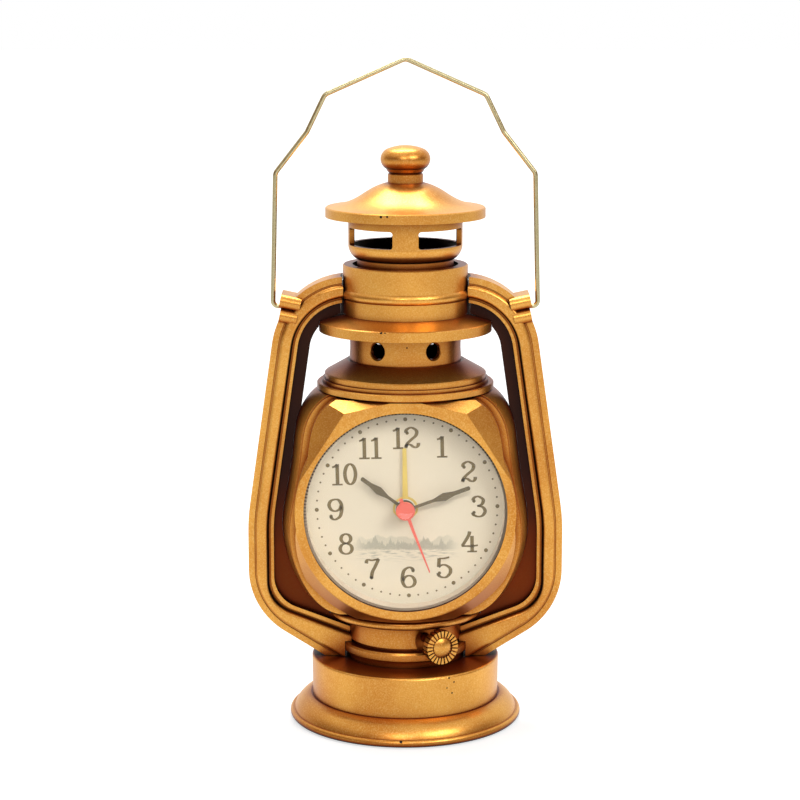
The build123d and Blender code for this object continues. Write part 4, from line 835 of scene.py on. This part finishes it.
def landscape(pot, tone, fibres):
    """The card's tone with hills, trees and water printed over it."""
    across, _, height = pot.split(pot.place())
    above = height - dial_centre.z - HORIZON
    along = pot.node("ShaderNodeCombineXYZ", {}, {"X": across})
    hills = pot.noise(HILL_WAVES, HILL_DETAIL, vector=along) * HILL_RISE - HILL_SINK
    tops = pot.noise(TREE_WAVES, TREE_DETAIL, TREE_ROUGHNESS, along) * TREE_RISE - TREE_SINK
    fade = 1 - abs(across).smooth(LAND_HALF_WIDTH * LAND_FADES, LAND_HALF_WIDTH)
    far_hills = 1 - (above - hills).smooth(*HILL_STEP)
    tree_line = 1 - (above - tops).smooth(*TREE_STEP)
    land = (above + fibres * MM).smooth(*SHORE_STEP)
    stretched = pot.node("ShaderNodeMapping", {}, {"Vector": pot.place(), "Scale": RIPPLE_STRETCH})
    ripples = pot.noise(RIPPLE_WAVES, RIPPLE_DETAIL, vector=stretched).smooth(*RIPPLE_STEP)
    water = above.smooth(*WATER_STEP) * (1 - land)
    tone = pot.mix(far_hills * land * fade * HILL_COVER, tone, LAND_PALE)
    tone = pot.mix(tree_line * land * fade * (fibres * TREE_FIBRES + TREE_COVER), tone, LAND_DARK)
    return pot.mix(water * fade * ripples * RIPPLE_COVER, tone, LAND_DARK)


print("the horizon is", round(-HORIZON / MM, 1), "mm below the dial's middle")

# %% [markdown]
# The card itself has fine fibres, which raise its surface by a hair. It is painted grey towards its
# rim as shade, and more so in its lower half, where the cover's edge shades it.

# %% Printed card
CARD = colour(231, 217, 189)
CARD_RIM_SHADE = colour(206, 199, 178)
FIBRE_WAVES, FIBRE_HEIGHT, FIBRE_LEAN = 2200, 0.01 * MM, 0.4
RIM_STARTS, RIM_SHADE_COVER, RIM_LEAST = 0.8, 0.7, 0.25
CARD_ROUGHNESS = 0.62
pot = Pot("dial_card")
fibres = pot.noise(FIBRE_WAVES)
tone = landscape(pot, CARD, fibres)
across, _, height = pot.split(pot.place())
up = height - dial_centre.z
# Painted shade towards the rim, strongest in the lower half.
rim = ((across * across + up * up) ** 0.5).smooth(dial_radius * RIM_STARTS, dial_radius)
low_side = 1 - up.smooth(-dial_radius, 0.0)
tone = pot.mix(rim * (low_side * (1 - RIM_LEAST) + RIM_LEAST) * RIM_SHADE_COVER, tone, CARD_RIM_SHADE)
lean = pot.bump(fibres, FIBRE_HEIGHT, FIBRE_LEAN)
dress(pot.done(pot.surface(Base_Color=tone, Roughness=CARD_ROUGHNESS, Normal=lean)), "dial")
print("the card greys from", round(dial_radius * RIM_STARTS / MM, 1), "mm outwards")

# %% [markdown]
# A ring spaces the lens from the dial. It is white plastic. Round the upper part of the lens, dark
# ticks are painted on its front edge: a painted image of the cover's edge, seen bent through the
# lens's rim. Ticks are a sine wave of the angle about the dial's middle: one wave for each tick.

# %% Spacer ring
TICK_WAVES, TICK_STEP = 180, (0.1, 0.6)
RING_WHITE, REFRACTED_TICK_BROWN = colour(226, 208, 184), colour(92, 74, 62)
TICK_COVER, RING_ROUGHNESS = 0.85, 0.5
# The ticks' middle and how far they reach either side of it, in radians clockwise from the top.
TICKS_MIDDLE, TICKS_END_STEP = -0.25, (1.1, 1.7)
pot = Pot("spacer_ring")
across, _, height = pot.split(pot.place())
turn = pot.node("ShaderNodeMath", {"operation": "ARCTAN2"}, [across, height - dial_centre.z])
# Painted dark ticks stand for the cover's edge seen through the lens's rim.
refracted_ticks = (turn * TICK_WAVES).sine().smooth(*TICK_STEP)
upper = 1 - abs(turn - TICKS_MIDDLE).smooth(*TICKS_END_STEP)
tone = pot.mix(refracted_ticks * upper * TICK_COVER, RING_WHITE, REFRACTED_TICK_BROWN)
dress(pot.done(pot.surface(Base_Color=tone, Roughness=RING_ROUGHNESS)), "dial_ring")
print("one tooth every", FULL_TURN / TICK_WAVES, "degrees")

# %% [markdown]
# The lens is a thin clear dome. Real glass bends the light that goes through it, and a renderer
# that follows this finds the lamps behind it only by luck, so the dial would be dark and grainy.
# Shadow rays are let straight through instead: they meet a Transparent shader, and every other ray
# meets real glass. Its index is on the low side, so that it mirrors the room only faintly.

# %% Clear lens
LENS_INDEX = 1.3
pot = Pot("clear_lens")
glass = pot.surface(Base_Color=WHITE, Transmission_Weight=1.0, Roughness=0.0, IOR=LENS_INDEX)
clear = pot.node("ShaderNodeBsdfTransparent", {}, {"Color": WHITE})
shadow = pot.node("ShaderNodeLightPath", output="Is Shadow Ray")
dress(pot.done(pot.node("ShaderNodeMixShader", {}, [shadow, glass, clear])), "lens")
lens_low, lens_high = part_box("lens")
print("the lens is", round((lens_high[0] - lens_low[0]) / MM, 1), "mm wide")

# %% [markdown]
# The battery is a steel can in a shrunk plastic sleeve, dark over most of its length with a lighter
# band at the plus end. The sleeve stops short of both ends, where bare steel shows.

# %% Battery
# Soft steps along the cell, as shares of its length from the left.
BAND_STEP = (0.7, 0.705)
SLEEVE_START_STEP, SLEEVE_END_STEP = (0.012, 0.014), (0.965, 0.967)
SLEEVE_DARK, SLEEVE_BAND, CAN_STEEL = colour(34, 74, 52), colour(196, 158, 74), colour(196, 198, 200)
CAN_METAL, SLEEVE_METAL = 0.9, 0.1
CELL_WAVES, CELL_GLOSS, CELL_GLOSS_DRIFT = 500, 0.22, 0.1
CELL_GRAIN, CELL_LEAN = 0.02 * MM, 0.3
cell_low, cell_high = (Vector(corner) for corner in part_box("aa_cell"))
cell_length = cell_high.x - cell_low.x
pot = Pot("battery_sleeve")
across, _, _ = pot.split(pot.place())
along = (across - cell_low.x) / cell_length
band = along.smooth(*BAND_STEP)
bare = along.smooth(*SLEEVE_END_STEP) + (1 - along.smooth(*SLEEVE_START_STEP))
grain = pot.noise(CELL_WAVES)
tone = pot.mix(band, SLEEVE_DARK, SLEEVE_BAND)
tone = pot.mix(bare, tone, CAN_STEEL)
dress(pot.done(pot.surface(
    Base_Color=tone,
    Metallic=bare * CAN_METAL + SLEEVE_METAL,
    Roughness=grain * CELL_GLOSS_DRIFT + CELL_GLOSS,
    Normal=pot.bump(grain, CELL_GRAIN, CELL_LEAN))), "aa_cell")
print("the cell is", round(cell_length / MM, 1), "mm long")

# %% [markdown]
# The table and the room should look white to a camera, but a clock flooded with white from all
# sides would look flat. So both ask what kind of ray has come: a line of sight, with the lens in
# its way or not, a line that metal has mirrored, or light that has bounced off something matt.
# Sight through the lens counts as sight only before a matt bounce, because light from the dial
# back through the lens would otherwise count too, and the dial would glare.

# %% Kinds of ray
RAY_KINDS = ("Is Camera Ray", "Is Glossy Ray", "Is Transmission Ray", "Diffuse Depth")


def rays(pot):
    """1 for a sight line, a mirrored line and a matt bounce, each in a wire of its own."""
    path = pot.node("ShaderNodeLightPath").socket.node.outputs
    camera_ray, mirror_ray, lens_ray, matt_bounces = (Wire(pot, path[kind]) for kind in RAY_KINDS)
    matt = pot.clamp(matt_bounces)
    sight = (camera_ray + lens_ray) * (1 - matt)
    mirror = mirror_ray * (1 - matt)
    return sight, mirror, matt


print(len(RAY_KINDS), "outputs of Light Path are read")

# %% [markdown]
# The table is a sheet of matt white paper that runs out of sight. It is ordinary paper for light
# that bounces, so it keeps the clock's shadow, and it gains a glow for lines of sight, which lifts
# it to white where no shadow falls. The glow is less near the clock and about half as strong in a
# mirror, so that the undersides of the shells don't shine like lamps.

# %% White table
TABLE_HALF = 6.0
GLOW_NEAR = 0.6
GLOW_MIRRORED = 0.55
GLOW_STEP = (0.25, 1.2)
PAPER_WAVES, PAPER_DETAIL, PAPER_ROUGHNESS = 900, 3.0, 0.9
PAPER_DARK, PAPER_PALE = colour(206, 206, 206), colour(210, 210, 210)
TABLE_CORNERS = [(-TABLE_HALF, -TABLE_HALF, 0), (TABLE_HALF, -TABLE_HALF, 0), (TABLE_HALF, TABLE_HALF, 0),
                 (-TABLE_HALF, TABLE_HALF, 0)]
pot = Pot("white_sheet")
away = pot.node("ShaderNodeVectorMath", {"operation": "LENGTH"}, [pot.place()], "Value")
sight, mirror, _ = rays(pot)
glow = (sight + mirror * GLOW_MIRRORED) * (away.smooth(*GLOW_STEP) * (1 - GLOW_NEAR) + GLOW_NEAR)
paper = pot.noise(PAPER_WAVES, PAPER_DETAIL)
sheet = pot.surface(
    Base_Color=pot.mix(paper, PAPER_DARK, PAPER_PALE),
    Roughness=PAPER_ROUGHNESS,
    Emission_Color=pot.mix(glow, BLACK, WHITE),
    Emission_Strength=1.0)
mesh = bpy.data.meshes.new("table_sheet")
mesh.from_pydata(TABLE_CORNERS, [], [(0, 1, 2, 3)])
mesh.materials.append(pot.done(sheet))
table = bpy.data.objects.new("table_sheet", mesh)
bpy.context.scene.collection.objects.link(table)
print("the sheet is", 2 * TABLE_HALF, "m wide")

# %% [markdown]
# The room round the table is a world shader, and a camera sees it white. Its light on matt
# surfaces is weak, because the lamps do that work. What metal mirrors is the room itself. The
# backdrop behind the clock is white and the ceiling nearly so, the wall behind the camera is less
# than half as bright, and the sides are dark and warm. Without these differences every shell would
# mirror the same white and look flat.

# %% The room
SKY_LIGHT = 0.42
ROOM_LIGHT = 0.2
FRONT_LIGHT = 0.43
CEILING_LIGHT = 0.95
BACKDROP_STEP, BACKDROP_TOP_STEP = (0.0, 0.7), (0.8, 0.98)
FRONT_STEP = (0.7, 1.0)
CEILING_STEP = (0.2, 0.75)
WARM_WALL = colour(255, 196, 140)
pot = Pot("studio", is_world=True)
sight, mirror, matt = rays(pot)
_, behind, above = pot.split(pot.node("ShaderNodeTexCoord", output="Generated"))
backdrop = behind.smooth(*BACKDROP_STEP) * (1 - above.smooth(*BACKDROP_TOP_STEP))
front_wall = (0 - behind).smooth(*FRONT_STEP)
ceiling = above.smooth(*CEILING_STEP) * (1 - backdrop)
mirrored = backdrop * (1 - ROOM_LIGHT) + ROOM_LIGHT + front_wall * (FRONT_LIGHT - ROOM_LIGHT)
mirrored = mirrored + ceiling * (CEILING_LIGHT - ROOM_LIGHT)
strength = sight + mirror * mirrored + matt * SKY_LIGHT
tint = pot.mix(pot.clamp(sight + matt + mirror * mirrored), WARM_WALL, WHITE)
sky = pot.node("ShaderNodeBackground", {}, {"Color": tint, "Strength": strength})
bpy.context.scene.world = pot.done(sky)
print("matt surfaces get", SKY_LIGHT, "of white from the room")

# %% [markdown]
# Three soft boxes light the clock: one on the right, one in front and a little to the left, and a
# strong one above and behind it. Their size sets how soft the edge of each highlight is on the
# rounded shells, and the gaps between them leave the darker stripes that make the paint read as
# metal.

# %% Lamps
SOFT_BOXES = {
    "right_box": dict(place=(0.5, -0.6, 0.6), width=0.5, height=0.3, power=2.7),
    "front_box": dict(place=(-0.1, -0.9, 0.6), width=0.3, height=0.3, power=1.6),
    "top_box": dict(place=(-0.05, 0.25, 0.8), width=0.5, height=0.4, power=6.0),
}
clock_middle = Vector((0.0, 0.0, (cad_box[0][2] + cad_box[1][2]) / 2))


def soft_box(name, place, width, height, power):
    """A rectangular lamp that faces the clock's middle, with its power in watts."""
    light = bpy.data.lights.new(name, "AREA")
    light.shape = "RECTANGLE"
    light.size = width
    light.size_y = height
    light.energy = power
    lamp = bpy.data.objects.new(name, light)
    lamp.location = place
    lamp.rotation_euler = (clock_middle - Vector(place)).to_track_quat("-Z", "Y").to_euler()
    bpy.context.scene.collection.objects.link(lamp)


for name, settings in SOFT_BOXES.items():
    soft_box(name, **settings)
print(len(SOFT_BOXES), "soft boxes round", [round(part, 3) for part in clock_middle])

# %% [markdown]
# The last cell fixes how colours are shown.

# %% How colours are shown
bpy.context.scene.view_settings.view_transform = "Standard"
